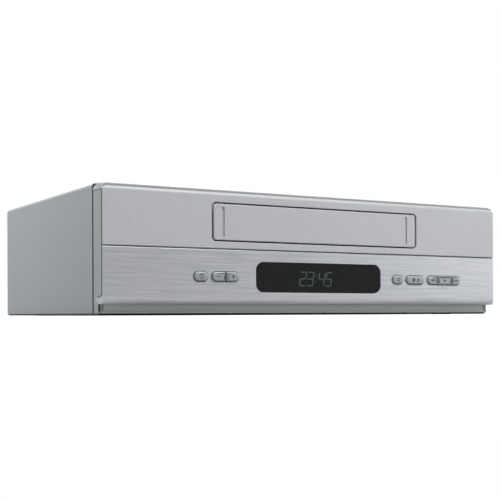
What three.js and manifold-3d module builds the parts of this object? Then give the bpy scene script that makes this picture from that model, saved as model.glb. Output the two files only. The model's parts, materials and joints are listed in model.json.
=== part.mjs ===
// A mains video cassette recorder for VHS cassettes, as an assembly of its separate pieces.
// Millimetres, +Z up, the front towards -Y. Pieces are laid out in a bench frame, where the fascia's
// face is the plane y = 0 and the floor is z = 0. The last group moves the origin to the middle of
// the machine's footprint.
import * as THREE from "three";
import { mergeVertices } from "three/addons/utils/BufferGeometryUtils.js";
import Module from "manifold-3d";

// Clearances and walls that every piece shares.
const seat = 0.2; // between two faces that rest on each other
const running = 0.3; // round anything that moves past another piece
const sheet = 1; // bent steel sheet
const moulding = 2; // moulded plastic wall
const overrun = 5; // how far a cutting tool runs past the piece that it cuts
const roundSides = 20;
const smallSides = 12;
const finePinSides = 8;
const arcSteps = 2; // an arc gets twice as many steps
const beltSteps = 8;

// The case as a whole.
const shell = {
  width: 380, // over the fascia's ends
  height: 98, // floor to the fascia's top
  depth: 242.2, // fascia's face to the cover's rear edge
  coverInset: 1.5, // cover's side, in from the fascia's end
  coverDrop: 0.7, // cover's top, below the fascia's
  coverBend: 3, // outer radius of the cover's two long bends
  coverStart: 25.2, // cover's front edge, behind the face
  rearFlange: 11, // height of the cover's turned-down rear flange
};

// Four round pads in shallow pockets under the tray.
const pad = {
  radius: 9,
  proud: 0.9, // pad's foot, below the tray
  pocket: 0.6,
  sideInset: 30,
  frontInset: 26,
  rearInset: 26,
};

// The tray that carries everything.
const tray = {
  rim: 0.6, // floor to the underside of its rim
  rimWidth: 3,
  edge: 1.4, // floor to the ledge that the cover's sides stand on
  floor: 2,
  wallHeight: 10,
  bossRadius: 3,
  boardHeight: 7, // tray's floor to the main board
  boardRoom: 1, // main board's edges to the walls round it
  boardThickness: 1.6,
  ventWidth: 3,
  ventLength: 36,
  ventPitch: 7,
  ventCount: 6,
};

// The fascia's C-shaped section: a nose at the top, a chin at the bottom, and a seam between its two skins.
const fascia = {
  wall: 2.4, // face
  thick: 3.5, // nose and chin
  noseDepth: 9.1,
  noseDrop: 6.4, // where the nose starts, below the top
  noseRise: 0.7, // ridge on top, above the nose's end
  ridgeDepth: 13,
  ridgeRun: 4.5, // from the ridge down to the flat behind it
  chinDepth: 9.6,
  chinRise: 4.6,
  chinHeight: 9.7, // floor to the chin's underside
  chinReach: 13,
  seamShare: 0.5214, // height of the seam, as a share of the case's height
  seamGap: 1,
};

// The moulding behind both skins: web, end caps and the set-back plinth.
const frame = {
  rear: 22.2, // its rear edge, behind the face
  endInset: 0.5, // end caps, in from the skins' ends
  endWall: 3,
  capFront: 1.5, // front edge of the end caps, behind the face
  capGap: 0.8, // open line between the end caps and the skins' ends
  plinthSetback: 9.5,
  lipHeight: 1.3,
  lipProud: 0.8,
  grooveInset: 2.2, // upright groove by each end of the plinth
  grooveWidth: 1.8,
  grooveDepth: 1.2,
  tongue: 6, // how far it slips under the cover
  throatDepth: 26, // cheeks and sill behind the cassette window
  cheek: 2.5,
  bossRadius: 2.5,
};

// The cassette flap and the window that it closes.
const flap = {
  width: 198.6,
  heightShare: 0.2857, // of the case's height
  thickness: 2.4,
  corner: 2.6,
  gap: 1.1, // open line round the flap
  centreShare: 0.7347, // height of its middle, as a share of the case's height
  grooveInset: 9.8, // two upright grooves, in from its ends
  grooveWidth: 0.9,
  grooveDepth: 0.6,
  grooveEnd: 2.4, // plain flap above and below a groove
  ribDepth: 1.6,
  ribHeight: 1.4,
  ribCount: 3,
  pinRadius: 1.2,
  pinLength: 3,
  pinDepth: 6, // hinge axis, behind the face
  pinShare: 0.3947, // height of the hinge axis, from the flap's top (0) to the case's inside (1)
  armWidth: 2.4,
  armRadius: 2.2,
  armDrop: 6,
  springStub: 5,
};
const spring = { wire: 0.5, turns: 3.5, pitch: 0.8, leg: 5 };

// The smoked window over the clock, the tube behind it, and the board that carries the tube and switches.
const display = {
  widthShare: 0.32105, // of the case's width
  heightShare: 0.6529, // of the lower skin's flat face
  corner: 6.5,
  centreShare: 0.4284, // height of its middle, as a share of that face
  gap: 0.25,
  lip: 1.5, // flange behind the skin
  lipThickness: 1.2,
  tubeSide: 9, // from the window's ends to the tube's
  tubeMargin: 1.85, // above and below it
  tubeDepth: 5,
  tubeEdge: 1.5,
};
const board = {
  thickness: 1.6,
  setback: 14, // front board's face, behind the fascia's
  leftShare: 0.6526, // its reach to the left, as a share of half the case's width
  rightShare: 0.8526, // and to the right
  topMargin: 3, // from the seam
  bottomMargin: 1, // above the frame's shelf
  switchSize: 6,
  switchDepth: 3.4,
  plungerRadius: 1.7,
  plungerDepth: 0.9,
};

// Push buttons. Each cluster shares one pill-shaped hole.
const button = {
  height: 8,
  proud: 0.8,
  gap: 0.3,
  edge: 0.5, // rounding of the front edge
  centreShare: 0.306, // height of the buttons' middle, as a share of the case's height
  split: 0.5, // line between two buttons of one cluster
  lip: 0.7,
  lipThickness: 1,
  stemRadius: 2,
  travel: 0.6,
};
// Widths of the keys, and where each cluster starts, as shares of the case's width.
const smallKeyShare = 0.03158;
const wideKeyShare = 0.05237;
const middleKeyShare = 0.04184;
const clusterShares = [
  { start: -0.30395, keys: [["standby_button", smallKeyShare]] },
  {
    start: -0.26421,
    keys: [
      ["programme_down_button", smallKeyShare],
      ["programme_up_button", smallKeyShare],
    ],
  },
  { start: 0.19474, keys: [["record_button", smallKeyShare]] },
  { start: 0.23474, keys: [["stop_eject_button", wideKeyShare]] },
  {
    start: 0.29684,
    keys: [
      ["rewind_button", smallKeyShare],
      ["play_button", middleKeyShare],
      ["forward_button", smallKeyShare],
    ],
  },
];
const clusters = clusterShares.map(({ start, keys }) => ({
  left: shell.width * start,
  keys: keys.map(([name, share]) => [name, shell.width * share]),
}));

// A VHS cassette, which sets the size of the bay, and the sliding holder that takes it in.
const cassette = { width: 187, height: 25 };
const holder = {
  front: 33,
  reliefLength: 5, // from its front, where the sides and the top stay under the open flap
  reliefDepth: 11, // below its top's underside
  length: 57,
  sideRoom: 0.8, // beside the cassette
  topRoom: 0.6, // above it
  sillRoom: 0.7, // floor of the bay, above the window's lower edge
  ledge: 12,
  stop: 8,
  windowMargin: 14,
  pinRadius: 1.8,
  pinInset: 10, // from the holder's front and rear
  pinReach: 1.4, // past the bracket
  pinShare: 0.5, // height of the pins in the bay, as a share of the cassette's height
};
const bracket = {
  gap: 1.6,
  thickness: 1.5,
  foot: 6,
  drop: 16,
  margin: 5,
  above: 8,
  lightRadius: 4.5, // ends of the long hole that lightens it
};

// The tape deck on its steel plate.
const deck = {
  height: 30, // floor to its underside
  thickness: 1.6,
  front: 27,
  edge: 4.5,
  flange: 7,
  rearMargin: 9,
  postRadius: 4,
};
const drum = {
  radius: 31,
  clearance: 4, // behind the holder's furthest reach
  rearMargin: 5.6, // to the deck's rear edge
  tiltDegrees: 5.96,
  pedestalRadius: 22,
  pedestalHeight: 8,
  lowerHeight: 12,
  upperHeight: 17,
  edge: 0.8,
  window: 3.2, // notch for each of the two video heads
  ledge: 1.2,
  ledgeShare: 0.33, // height of the ledge, as a share of the lower drum's
  hubRadius: 12,
  hubRecess: 3,
  shaftRadius: 3,
  shaftLength: 8,
};
const reel = {
  spacing: 92,
  behindHolder: 39,
  rimRadius: 17,
  rimHeight: 6,
  hubRadius: 8,
  hubRise: 5,
  spindleRadius: 4.6,
  spindleRise: 12,
  spindleTip: 2,
  axleRadius: 2,
  wings: 3,
  wingReach: 1.6,
  wingWidth: 1.6,
};
const capstan = {
  placeShare: 0.33155, // its place to the right, as a share of the cassette's width
  ahead: 36,
  shaftRadius: 1.5,
  shaftTop: 28,
  flywheelRadius: 24,
  flywheelHeight: 6,
  pulleyRadius: 8,
  bearingRadius: 5,
  bearingFlange: 8,
  bearingHeight: 8,
  flangeHeight: 2,
};
const belt = { width: 2, thickness: 1.2 };
const pulley = { radius: 13, height: 3, shaftRadius: 2, drop: 0.6, wheelRadius: 12.7 };
const idler = {
  pivotBehindReels: 20,
  armWidth: 8,
  armThickness: 1.5,
  armLift: 0.5,
  wheelRadius: 15,
  wheelHeight: 3.4,
  pinRadius: 1.6,
};
const pinch = {
  placeShare: 0.4492, // its pivot's place to the right, as a share of the cassette's width
  ahead: 54,
  armLength: 22,
  restDegrees: 103.6,
  armWidth: 7,
  armThickness: 2,
  armLift: 9,
  postRadius: 2,
  bossRadius: 4.6,
  rollerRadius: 6.5,
  rollerHeight: 11,
  pinRadius: 1.5,
};
const guide = {
  startX: 22,
  startAhead: 52,
  endX: 38,
  endAhead: 6,
  blockRadius: 5,
  blockHeight: 4,
  postRadius: 3,
  postHeight: 17,
  capRadius: 3.8,
  capHeight: 1.4,
  keelRadius: 2.2,
};
const head = {
  width: 12,
  depth: 8,
  height: 17,
  plate: 2,
  plateMargin: 2,
  gapWidth: 1,
  crownShare: 1.5, // control point of the face's curve, as a share of half the depth
  eraseShare: 0.8, // size of the erase head, as a share of the control head's
  eraseX: 60,
  eraseAhead: 30,
  controlX: 51,
  controlAhead: 20,
};
const gear = {
  module: 1.25,
  camTeeth: 24,
  pinionTeeth: 10,
  backlash: 0.45,
  height: 5,
  hubRadius: 5,
  hubHeight: 3,
  camX: 70,
  camAhead: 2,
  meshDegrees: 115,
  meshSlack: 0.25,
  axleRadius: 2,
  shaftRadius: 1,
};
const motor = { radius: 11, flatShare: 0.8, height: 12, collarRadius: 4, collarHeight: 1 };

// The rear panel and its sockets.
const rear = { bay: 24.6, panel: 2, ventWidth: 3, ventLength: 34, ventPitch: 8, ventCount: 8 };
const scart = {
  width: 50,
  height: 17.5,
  slant: 7,
  spacing: 56,
  tunerGap: 2.3,
  proud: 6,
  inside: 14,
  channelMargin: 2,
  channel: 1.7,
  channelDepth: 7,
  contacts: 10,
  contactWidth: 1.2,
  contactHeight: 3,
  contactRow: 2.9,
  contactPitch: 3.8,
  contactDepth: 5,
};
const phono = {
  scartGap: 14,
  spacing: 14,
  barrelRadius: 4.15,
  boreRadius: 1.6,
  boreDepth: 7,
  proud: 7.6,
  blockWidth: 30,
  blockHeight: 16,
  blockDepth: 10,
};
const tuner = {
  width: 40,
  height: 46,
  depth: 26,
  wallRoom: 22,
  barrelRadius: 6.2,
  boreRadius: 4.8,
  pinRadius: 2,
  pinBore: 1.2,
  proud: 8.2,
  flangeRadius: 8,
  flangeThickness: 1.4,
  spacing: 24,
  boreDepth: 7,
};
const inlet = {
  width: 24,
  height: 15,
  proud: 1.2,
  bodyDepth: 22,
  flange: 2,
  recessWidth: 18.4,
  recessHeight: 8.6,
  recessDepth: 14,
  pinSpacing: 8.6,
  pinRadius: 1.2,
  pinLength: 9,
  sideRoom: 24,
};
const power = {
  front: 52,
  coreShare: 0.45, // width of the core, as a share of the room beside the deck
  coreDepth: 12,
  coreHeight: 28,
  windingShare: 0.706, // width of the winding, as a share of the core's
  windingDepth: 26,
  windingHeight: 16,
  canRadius: 10,
  canHeight: 32,
  canGroove: 1,
  canGrooveShare: 0.25, // height of the groove round the can, as a share of the can's
  finShare: 0.61, // width of the heat sink, as a share of the room beside the deck
  finDepth: 22,
  finHeight: 34,
  finCount: 6,
  finThickness: 2,
  backThickness: 3,
  spacing: 14,
};
const screw = {
  headRadius: 3.4,
  headHeight: 1.8,
  shankRadius: 1.5,
  shankLength: 7,
  slotLength: 3.8,
  slotWidth: 0.9,
  slotDepth: 1,
  sideInset: 36,
};
const chip = {
  count: 2,
  width: 26,
  depth: 18,
  height: 3,
  margin: 4, // from the deck's side
  spacing: 34,
  canCount: 3,
  canRadius: 4,
  canHeight: 10,
  canSpacing: 18,
};

// Places that follow from the sizes above.
const half = shell.width / 2;
const coverHalf = half - shell.coverInset;
const coverTop = shell.height - shell.coverDrop;
const innerHalf = coverHalf - sheet - seat;
const trayTop = pad.proud + tray.floor;
const caseBottom = tray.edge + seat;
const panelRear = shell.depth - sheet - seat;
const panelFront = panelRear - rear.panel;
const boardUnder = trayTop + tray.boardHeight;
const boardTop = boardUnder + tray.boardThickness;
const mainBoardHalf = innerHalf - moulding - tray.boardRoom;
const mainBoardFront = frame.rear + frame.tongue + tray.boardRoom;
const mainBoardRear = panelFront - tray.boardRoom;
const seamHeight = shell.height * fascia.seamShare;
const webFront = fascia.wall + seat;
const webRear = webFront + moulding;
const skinTop = shell.height - fascia.noseRise;
const innerTop = skinTop - fascia.thick - seat;
const chinInner = fascia.chinHeight + fascia.thick + seat;
const flapHeight = shell.height * flap.centreShare;
const windowHalf = flap.width / 2 + flap.gap;
const flapTall = shell.height * flap.heightShare;
const flapTop = flapHeight + flapTall / 2;
const flapBottom = flapHeight - flapTall / 2;
const windowBottom = flapBottom - flap.gap;
const windowTop = flapTop + flap.gap;
const hingeHeight = flapTop + (innerTop - flapTop) * flap.pinShare;
const lowerFaceBottom = fascia.chinHeight + fascia.chinRise;
const lowerFaceTall = seamHeight - fascia.seamGap / 2 - lowerFaceBottom;
const displayHeight = lowerFaceBottom + lowerFaceTall * display.centreShare;
const displayWide = shell.width * display.widthShare;
const displayTall = lowerFaceTall * display.heightShare;
const buttonHeight = shell.height * button.centreShare;
const shelfTop = chinInner + moulding;
const riserFront = fascia.chinReach + seat;
const boardBottom = shelfTop + board.bottomMargin;
const frontBoardTop = seamHeight - board.topMargin;
const bayFloor = windowBottom + holder.sillRoom;
const bayHalf = cassette.width / 2 + holder.sideRoom;
const bayTop = bayFloor + cassette.height + holder.topRoom;
const holderHalf = bayHalf + sheet;
const bracketInner = holderHalf + bracket.gap;
const bracketOuter = bracketInner + bracket.thickness;
const pinLevel = bayFloor + cassette.height * holder.pinShare;
const deckTop = deck.height + deck.thickness;
const deckHalf = bracketOuter + bracket.foot + deck.edge;
const deckRear = shell.depth - rear.bay - deck.rearMargin;
const powerRoom = mainBoardHalf - deckHalf;
const powerX = -(mainBoardHalf + deckHalf) / 2;
const holderRear = holder.front + holder.length;
const drumY = deckRear - drum.rearMargin - drum.radius;
const holderTravel = drumY - drum.radius - drum.clearance - holderRear;
const reelY = holder.front + reel.behindHolder;
const pulleyY = reelY + idler.pivotBehindReels;
const capstanX = cassette.width * capstan.placeShare;
const capstanY = drumY - capstan.ahead;
const pinchX = cassette.width * pinch.placeShare;
const pinchY = drumY - pinch.ahead;
const camX = -gear.camX;
const camY = drumY - gear.camAhead;
const postInset = deck.thickness + running + deck.postRadius;

const finishes = {
  silverPaint: { color: 0xc2c3c5, roughness: 0.45, metalness: 0.1 },
  brushedSilver: { color: 0xbfc1c3, roughness: 0.4, metalness: 0.3 },
  coatedSteel: { color: 0xa3a8aa, roughness: 0.5, metalness: 0.2 },
  steel: { color: 0xb5b8ba, roughness: 0.35, metalness: 0.9 },
  brightMetal: { color: 0xd0d2d4, roughness: 0.2, metalness: 1 },
  blackPlastic: { color: 0x1c1d1e, roughness: 0.5, metalness: 0 },
  smokedPlastic: { color: 0x1f2022, roughness: 0.12, metalness: 0 },
  greyPlastic: { color: 0x7c8082, roughness: 0.5, metalness: 0 },
  whitePlastic: { color: 0xd8d6cd, roughness: 0.5, metalness: 0 },
  rubber: { color: 0x151515, roughness: 0.8, metalness: 0 },
  boardGreen: { color: 0x2f5b3c, roughness: 0.5, metalness: 0 },
  tubeGlass: { color: 0x27302c, roughness: 0.1, metalness: 0 },
  copper: { color: 0xb4693a, roughness: 0.4, metalness: 0.6 },
};

const wasm = await Module();
wasm.setup();

// A closed three.js geometry as a solid that can be joined and cut.
function solidOf(geometry) {
  geometry.deleteAttribute("normal");
  geometry.deleteAttribute("uv");
  const merged = mergeVertices(geometry);
  const vertProperties = new Float32Array(merged.attributes.position.array);
  const triVerts = new Uint32Array(merged.index.array);
  return new wasm.Manifold(new wasm.Mesh({ numProp: 3, vertProperties, triVerts }));
}

function geometryOf(body) {
  const mesh = body.getMesh();
  const geometry = new THREE.BufferGeometry();
  geometry.setAttribute("position", new THREE.BufferAttribute(mesh.vertProperties, 3));
  geometry.setIndex(new THREE.BufferAttribute(mesh.triVerts, 1));
  geometry.computeVertexNormals();
  return geometry;
}

// A named piece, from a solid drawn round its own origin.
function piece(name, body, finish, x = 0, y = 0, z = 0) {
  const material = new THREE.MeshStandardMaterial({ ...finishes[finish], flatShading: true });
  const mesh = new THREE.Mesh(geometryOf(body), material);
  mesh.name = name;
  mesh.position.set(x, y, z);
  return mesh;
}

// A box between two limits on each axis.
function span(x0, x1, y0, y1, z0, z1) {
  const geometry = new THREE.BoxGeometry(x1 - x0, y1 - y0, z1 - z0);
  geometry.translate((x0 + x1) / 2, (y0 + y1) / 2, (z0 + z1) / 2);
  return solidOf(geometry);
}

// The same box on both sides of the machine's middle.
function spanBothSides(x0, x1, y0, y1, z0, z1) {
  return span(x0, x1, y0, y1, z0, z1).add(span(-x1, -x0, y0, y1, z0, z1));
}

function extruded(shape, depth, curveSegments = arcSteps) {
  const geometry = new THREE.ExtrudeGeometry(shape, { depth, bevelEnabled: false, curveSegments });
  geometry.deleteAttribute("normal");
  geometry.deleteAttribute("uv");
  return geometry;
}

// A plan (x, y) raised from z0 to z1.
function plate(shape, z0, z1, steps = arcSteps) {
  return solidOf(extruded(shape, z1 - z0, steps).translate(0, 0, z0));
}

// A front view (x, z) carried from y0 to y1.
function panel(shape, y0, y1, steps = arcSteps) {
  return solidOf(extruded(shape, y1 - y0, steps).rotateX(Math.PI / 2).translate(0, y1, 0));
}

// A side view (y, z) carried from x0 to x1.
const sideways = new THREE.Matrix4().makeBasis(
  new THREE.Vector3(0, 1, 0),
  new THREE.Vector3(0, 0, 1),
  new THREE.Vector3(1, 0, 0),
);
function profile(shape, x0, x1, steps = arcSteps) {
  return solidOf(extruded(shape, x1 - x0, steps).applyMatrix4(sideways).translate(x0, 0, 0));
}

// Round bars along each axis, given by the middle of the circle and the two ends.
function barZ(radius, x, y, z0, z1, sides = roundSides) {
  const geometry = new THREE.CylinderGeometry(radius, radius, z1 - z0, sides);
  return solidOf(geometry.rotateX(Math.PI / 2).translate(x, y, (z0 + z1) / 2));
}
function barY(radius, x, z, y0, y1, sides = roundSides) {
  const geometry = new THREE.CylinderGeometry(radius, radius, y1 - y0, sides);
  return solidOf(geometry.translate(x, (y0 + y1) / 2, z));
}
function barX(radius, y, z, x0, x1, sides = roundSides) {
  const geometry = new THREE.CylinderGeometry(radius, radius, x1 - x0, sides);
  return solidOf(geometry.rotateZ(Math.PI / 2).translate((x0 + x1) / 2, y, z));
}

// A half outline of [radius, height] points, turned about the upright axis.
function turned(points, sides = roundSides) {
  const outline = points.map(([radius, height]) => new THREE.Vector2(radius, height));
  return solidOf(new THREE.LatheGeometry(outline, sides).rotateX(Math.PI / 2));
}

// A rectangle with round corners about its middle.
function roundedRectangle(width, height, radius, x = 0, z = 0) {
  const shape = new THREE.Shape();
  const right = x + width / 2 - radius;
  const left = x - width / 2 + radius;
  const top = z + height / 2 - radius;
  const bottom = z - height / 2 + radius;
  shape.absarc(right, bottom, radius, -Math.PI / 2, 0);
  shape.absarc(right, top, radius, 0, Math.PI / 2);
  shape.absarc(left, top, radius, Math.PI / 2, Math.PI);
  shape.absarc(left, bottom, radius, Math.PI, Math.PI * 1.5);
  shape.closePath();
  return shape;
}

// A slot with round ends between two points, and its outline at any width.
function slotOutline(x0, y0, x1, y1, radius) {
  const shape = new THREE.Shape();
  const heading = Math.atan2(y1 - y0, x1 - x0);
  shape.absarc(x1, y1, radius, heading - Math.PI / 2, heading + Math.PI / 2);
  shape.absarc(x0, y0, radius, heading + Math.PI / 2, heading + Math.PI * 1.5);
  shape.closePath();
  return shape;
}

function polygon(points) {
  return new THREE.Shape(points.map(([across, up]) => new THREE.Vector2(across, up)));
}

function joined(bodies) {
  return bodies.reduce((whole, body) => whole.add(body));
}

function cut(body, tools) {
  return tools.reduce((rest, tool) => rest.subtract(tool), body);
}

// The front, in side view: how far each curve leans from the face, and where it bends, as shares of it.
const noseLeanShare = 0.055;
const noseBendShare = 0.36;
const chinLeanShare = 0.125;
const chinBendShare = 0.41;

// Hollow of the fascia in side view, from its front out to back; grow widens it all round.
function hollowOutline(front, grow, back) {
  const shape = new THREE.Shape();
  const noseStart = skinTop - fascia.thick - fascia.noseDrop / 2 + grow;
  const chinStart = fascia.chinHeight + fascia.thick + fascia.chinRise / 2 - grow;
  const top = innerTop + grow;
  const bottom = chinInner - grow;
  shape.moveTo(back, bottom);
  shape.lineTo(back, top);
  shape.lineTo(fascia.noseDepth, top);
  shape.quadraticCurveTo(
    front + fascia.noseDepth * noseLeanShare,
    noseStart + (top - noseStart) / 2,
    front,
    noseStart,
  );
  shape.lineTo(front, chinStart);
  shape.quadraticCurveTo(
    front + fascia.chinDepth * chinLeanShare,
    bottom + (chinStart - bottom) * chinBendShare,
    fascia.chinDepth,
    bottom,
  );
  shape.closePath();
  return shape;
}

function fasciaOutline() {
  const shape = new THREE.Shape();
  const noseStart = skinTop - fascia.noseDrop;
  const chinStart = fascia.chinHeight + fascia.chinRise;
  shape.moveTo(fascia.chinReach, seamHeight);
  shape.lineTo(frame.rear, seamHeight);
  shape.lineTo(frame.rear, skinTop);
  shape.lineTo(fascia.ridgeDepth + fascia.ridgeRun, skinTop);
  shape.lineTo(fascia.ridgeDepth, shell.height);
  shape.lineTo(fascia.noseDepth, skinTop);
  shape.quadraticCurveTo(
    fascia.noseDepth * noseLeanShare,
    skinTop - fascia.noseDrop * noseBendShare,
    0,
    noseStart,
  );
  shape.lineTo(0, chinStart);
  shape.quadraticCurveTo(
    fascia.chinDepth * chinLeanShare,
    fascia.chinHeight + fascia.chinRise * chinBendShare,
    fascia.chinDepth,
    fascia.chinHeight,
  );
  shape.lineTo(fascia.chinReach, fascia.chinHeight);
  shape.closePath();
  return shape;
}

// Both skins in one, before the seam parts them, with room for the frame's end caps at the ends.
function fasciaBlank() {
  const capInner = half - frame.endInset - frame.endWall;
  const back = frame.rear + overrun;
  const endOutline = hollowOutline(frame.capFront - frame.capGap, frame.capGap / 2, back);
  const ends = profile(endOutline, capInner - running, half + overrun);
  return cut(profile(fasciaOutline(), -half, half), [
    profile(hollowOutline(fascia.wall, seat, back), -half - overrun, half + overrun),
    ends,
    ends.mirror([1, 0, 0]),
  ]);
}

function upperFascia() {
  const corner = flap.corner + flap.gap;
  const window = roundedRectangle(windowHalf * 2, windowTop - windowBottom, corner, 0, flapHeight);
  return cut(fasciaBlank(), [
    span(-half - overrun, half + overrun, -overrun, shell.depth, -overrun, seamHeight + fascia.seamGap / 2),
    panel(window, -overrun, webFront),
  ]);
}

function clusterSpan(cluster) {
  const width = cluster.keys.reduce((sum, key) => sum + key[1], 0);
  return { width, middle: cluster.left + width / 2 };
}

// Pill-shaped hole of each cluster; grow widens it.
function clusterHoles(grow, y0, y1) {
  return clusters.map((cluster) => {
    const { width, middle } = clusterSpan(cluster);
    const tall = button.height + grow * 2;
    return panel(roundedRectangle(width + grow * 2, tall, tall / 2, middle, buttonHeight), y0, y1);
  });
}

function displayOutline(grow) {
  const width = displayWide + grow * 2;
  const tall = displayTall + grow * 2;
  return roundedRectangle(width, tall, display.corner + grow, 0, displayHeight);
}

function lowerFascia() {
  const above = shell.height + overrun;
  return cut(fasciaBlank(), [
    span(-half - overrun, half + overrun, -overrun, shell.depth, seamHeight - fascia.seamGap / 2, above),
    panel(displayOutline(display.gap), -overrun, webFront),
    ...clusterHoles(button.gap, -overrun, webFront),
  ]);
}

// Web behind the skins, end caps, shelf, riser and plinth, tongues under the cover, and the cassette throat.
function frontFrame() {
  const capOuter = half - frame.endInset;
  const capInner = capOuter - frame.endWall;
  const ledgeTop = fascia.chinHeight - seat;
  const riserRear = riserFront + moulding;
  const plinthRear = frame.plinthSetback + moulding;
  const tongueHalf = innerHalf - moulding;
  const tongueRear = frame.rear + frame.tongue;
  const coverUnder = coverTop - sheet - seat;
  const stepFront = frame.rear + seat;
  const stepRear = stepFront + moulding;
  const channel = profile(hollowOutline(webFront, 0, frame.rear), -capInner - seat, capInner + seat);
  const hollow = profile(
    hollowOutline(webRear, -moulding, frame.rear + overrun),
    -capInner - overrun,
    capInner + overrun,
  );
  const cap = profile(hollowOutline(frame.capFront, 0, frame.rear), capInner, capOuter);
  const cheekOuter = windowHalf + frame.cheek;
  const armInner = flap.width / 2 - flap.armWidth - flap.springStub - running * 2;
  const armRear = flap.pinDepth + flap.armRadius * 2;
  const barrelTop = hingeHeight + flap.armRadius + running;
  const lip = display.lip + running;
  const keyLip = button.lip + running;
  const sillBottom = windowBottom - moulding;
  const cheeks = spanBothSides(windowHalf, cheekOuter, webFront, frame.throatDepth, sillBottom, innerTop);
  const within = profile(hollowOutline(webFront, 0, frame.throatDepth + overrun), -half, half);
  const body = joined([
    channel.subtract(hollow),
    cap,
    cap.mirror([1, 0, 0]),
    spanBothSides(capInner, capOuter, riserFront, frame.rear, caseBottom, chinInner + seat),
    spanBothSides(capInner, capOuter, frame.plinthSetback, frame.rear, caseBottom, ledgeTop),
    span(-capInner - seat, capInner + seat, frame.plinthSetback, plinthRear, caseBottom, ledgeTop),
    span(-capInner - seat, capInner + seat, frame.plinthSetback, riserRear, ledgeTop - moulding, ledgeTop),
    span(-capInner - seat, capInner + seat, riserFront, riserRear, ledgeTop - moulding, shelfTop),
    span(
      -capOuter,
      capOuter,
      frame.plinthSetback - frame.lipProud,
      plinthRear,
      caseBottom,
      caseBottom + frame.lipHeight,
    ),
    spanBothSides(tongueHalf, innerHalf, riserRear, tongueRear, trayTop + seat, innerTop),
    span(-tongueHalf, tongueHalf, frame.rear - moulding, stepRear, innerTop - moulding, innerTop),
    span(-tongueHalf, tongueHalf, stepFront, stepRear, innerTop - moulding, coverUnder),
    span(-tongueHalf, tongueHalf, stepFront, tongueRear, coverUnder - moulding, coverUnder),
    cheeks.intersect(within),
    span(-cheekOuter, cheekOuter, webFront, frame.throatDepth, sillBottom, windowBottom),
    ...frameBosses(),
  ]);
  const groove = capOuter - frame.grooveInset;
  return cut(body, [
    span(-windowHalf, windowHalf, -overrun, webRear + seat, windowBottom, windowTop),
    spanBothSides(armInner, windowHalf, -overrun, armRear, windowTop - seat, barrelTop),
    barX(flap.pinRadius + running, flap.pinDepth, hingeHeight, -half, half, finePinSides),
    panel(displayOutline(lip), -overrun, webRear + seat),
    ...clusterHoles(keyLip, -overrun, webRear + seat),
    spanBothSides(
      groove - frame.grooveWidth,
      groove,
      -overrun,
      frame.plinthSetback + frame.grooveDepth,
      caseBottom - overrun,
      ledgeTop + seat,
    ),
  ]);
}

// Posts behind the web that the front board is screwed to, clear of the display and the buttons.
function frameBosses() {
  const inset = frame.bossRadius * 2;
  const beside = displayWide / 2 + display.lip + inset;
  const level = frontBoardTop - inset;
  const places = [inset - half * board.leftShare, -beside, beside, half * board.rightShare - inset];
  return places.map((x) => barY(frame.bossRadius, x, level, webFront, board.setback - seat, finePinSides));
}

function cassetteFlap() {
  const top = flapTop;
  const bottom = flapBottom;
  const end = flap.width / 2;
  const grooveX = end - flap.grooveInset;
  const armFront = flap.thickness / 2;
  const arm = polygon([
    [armFront, top - flap.armDrop],
    [flap.thickness, top - flap.armDrop],
    [flap.pinDepth + flap.armRadius, hingeHeight],
    [flap.pinDepth, hingeHeight + flap.armRadius],
    [flap.pinDepth - flap.armRadius, hingeHeight],
    [flap.thickness, top - seat],
    [armFront, top - seat],
  ]);
  const armInner = end - flap.armWidth;
  const armBody = joined([
    profile(arm, armInner, end),
    barX(flap.armRadius, flap.pinDepth, hingeHeight, armInner, end, finePinSides),
    barX(flap.pinRadius, flap.pinDepth, hingeHeight, armInner, end + flap.pinLength, finePinSides),
  ]);
  const stubRoot = -armInner;
  const stubTip = stubRoot + flap.springStub;
  const ribPitch = flapTall / (flap.ribCount + 1);
  const ribs = Array.from({ length: flap.ribCount }, (_, index) => {
    const level = bottom + ribPitch * (index + 1);
    const ribRear = flap.thickness + flap.ribDepth;
    const tall = flap.ribHeight / 2;
    return span(-grooveX, grooveX, armFront, ribRear, level - tall, level + tall);
  });
  const body = joined([
    panel(roundedRectangle(flap.width, flapTall, flap.corner, 0, flapHeight), 0, flap.thickness),
    armBody,
    armBody.mirror([1, 0, 0]),
    barX(flap.pinRadius, flap.pinDepth, hingeHeight, stubRoot - seat, stubTip, finePinSides),
    ...ribs,
  ]);
  return body.subtract(
    spanBothSides(
      grooveX - flap.grooveWidth,
      grooveX,
      -overrun,
      flap.grooveDepth,
      bottom + flap.grooveEnd,
      top - flap.grooveEnd,
    ),
  );
}

// Torsion spring round a stub by the flap's left arm: one unbroken wire with a leg at each end.
const springSteps = 8; // in each turn
const springCoil = flap.pinRadius + running + spring.wire / 2;
class SpringPath extends THREE.Curve {
  getPoint(share, target = new THREE.Vector3()) {
    const coilLength = 2 * Math.PI * springCoil * spring.turns;
    const along = share * (coilLength + spring.leg * 2) - spring.leg;
    const turn = Math.min(Math.max(along / springCoil, 0), 2 * Math.PI * spring.turns);
    const legDown = Math.min(along, 0) - Math.max(along - coilLength, 0);
    const reach = flap.pinDepth - springCoil - flap.thickness - running - spring.wire / 2;
    const lean = (Math.min(along, 0) / spring.leg) * reach;
    return target.set(
      (turn / (2 * Math.PI)) * spring.pitch,
      lean - springCoil * Math.cos(turn),
      legDown + springCoil * Math.sin(turn),
    );
  }
}
function flapSpring() {
  const section = new THREE.Shape();
  section.absarc(0, 0, spring.wire / 2, 0, Math.PI * 2);
  const geometry = new THREE.ExtrudeGeometry(section, {
    steps: Math.round(spring.turns * springSteps) + springSteps,
    curveSegments: 2,
    extrudePath: new SpringPath(),
  });
  return solidOf(geometry);
}

function displayWindow() {
  const lipFront = webFront;
  return joined([
    panel(displayOutline(0), 0, lipFront + display.lipThickness),
    panel(displayOutline(display.lip), lipFront, lipFront + display.lipThickness),
  ]);
}

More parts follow.
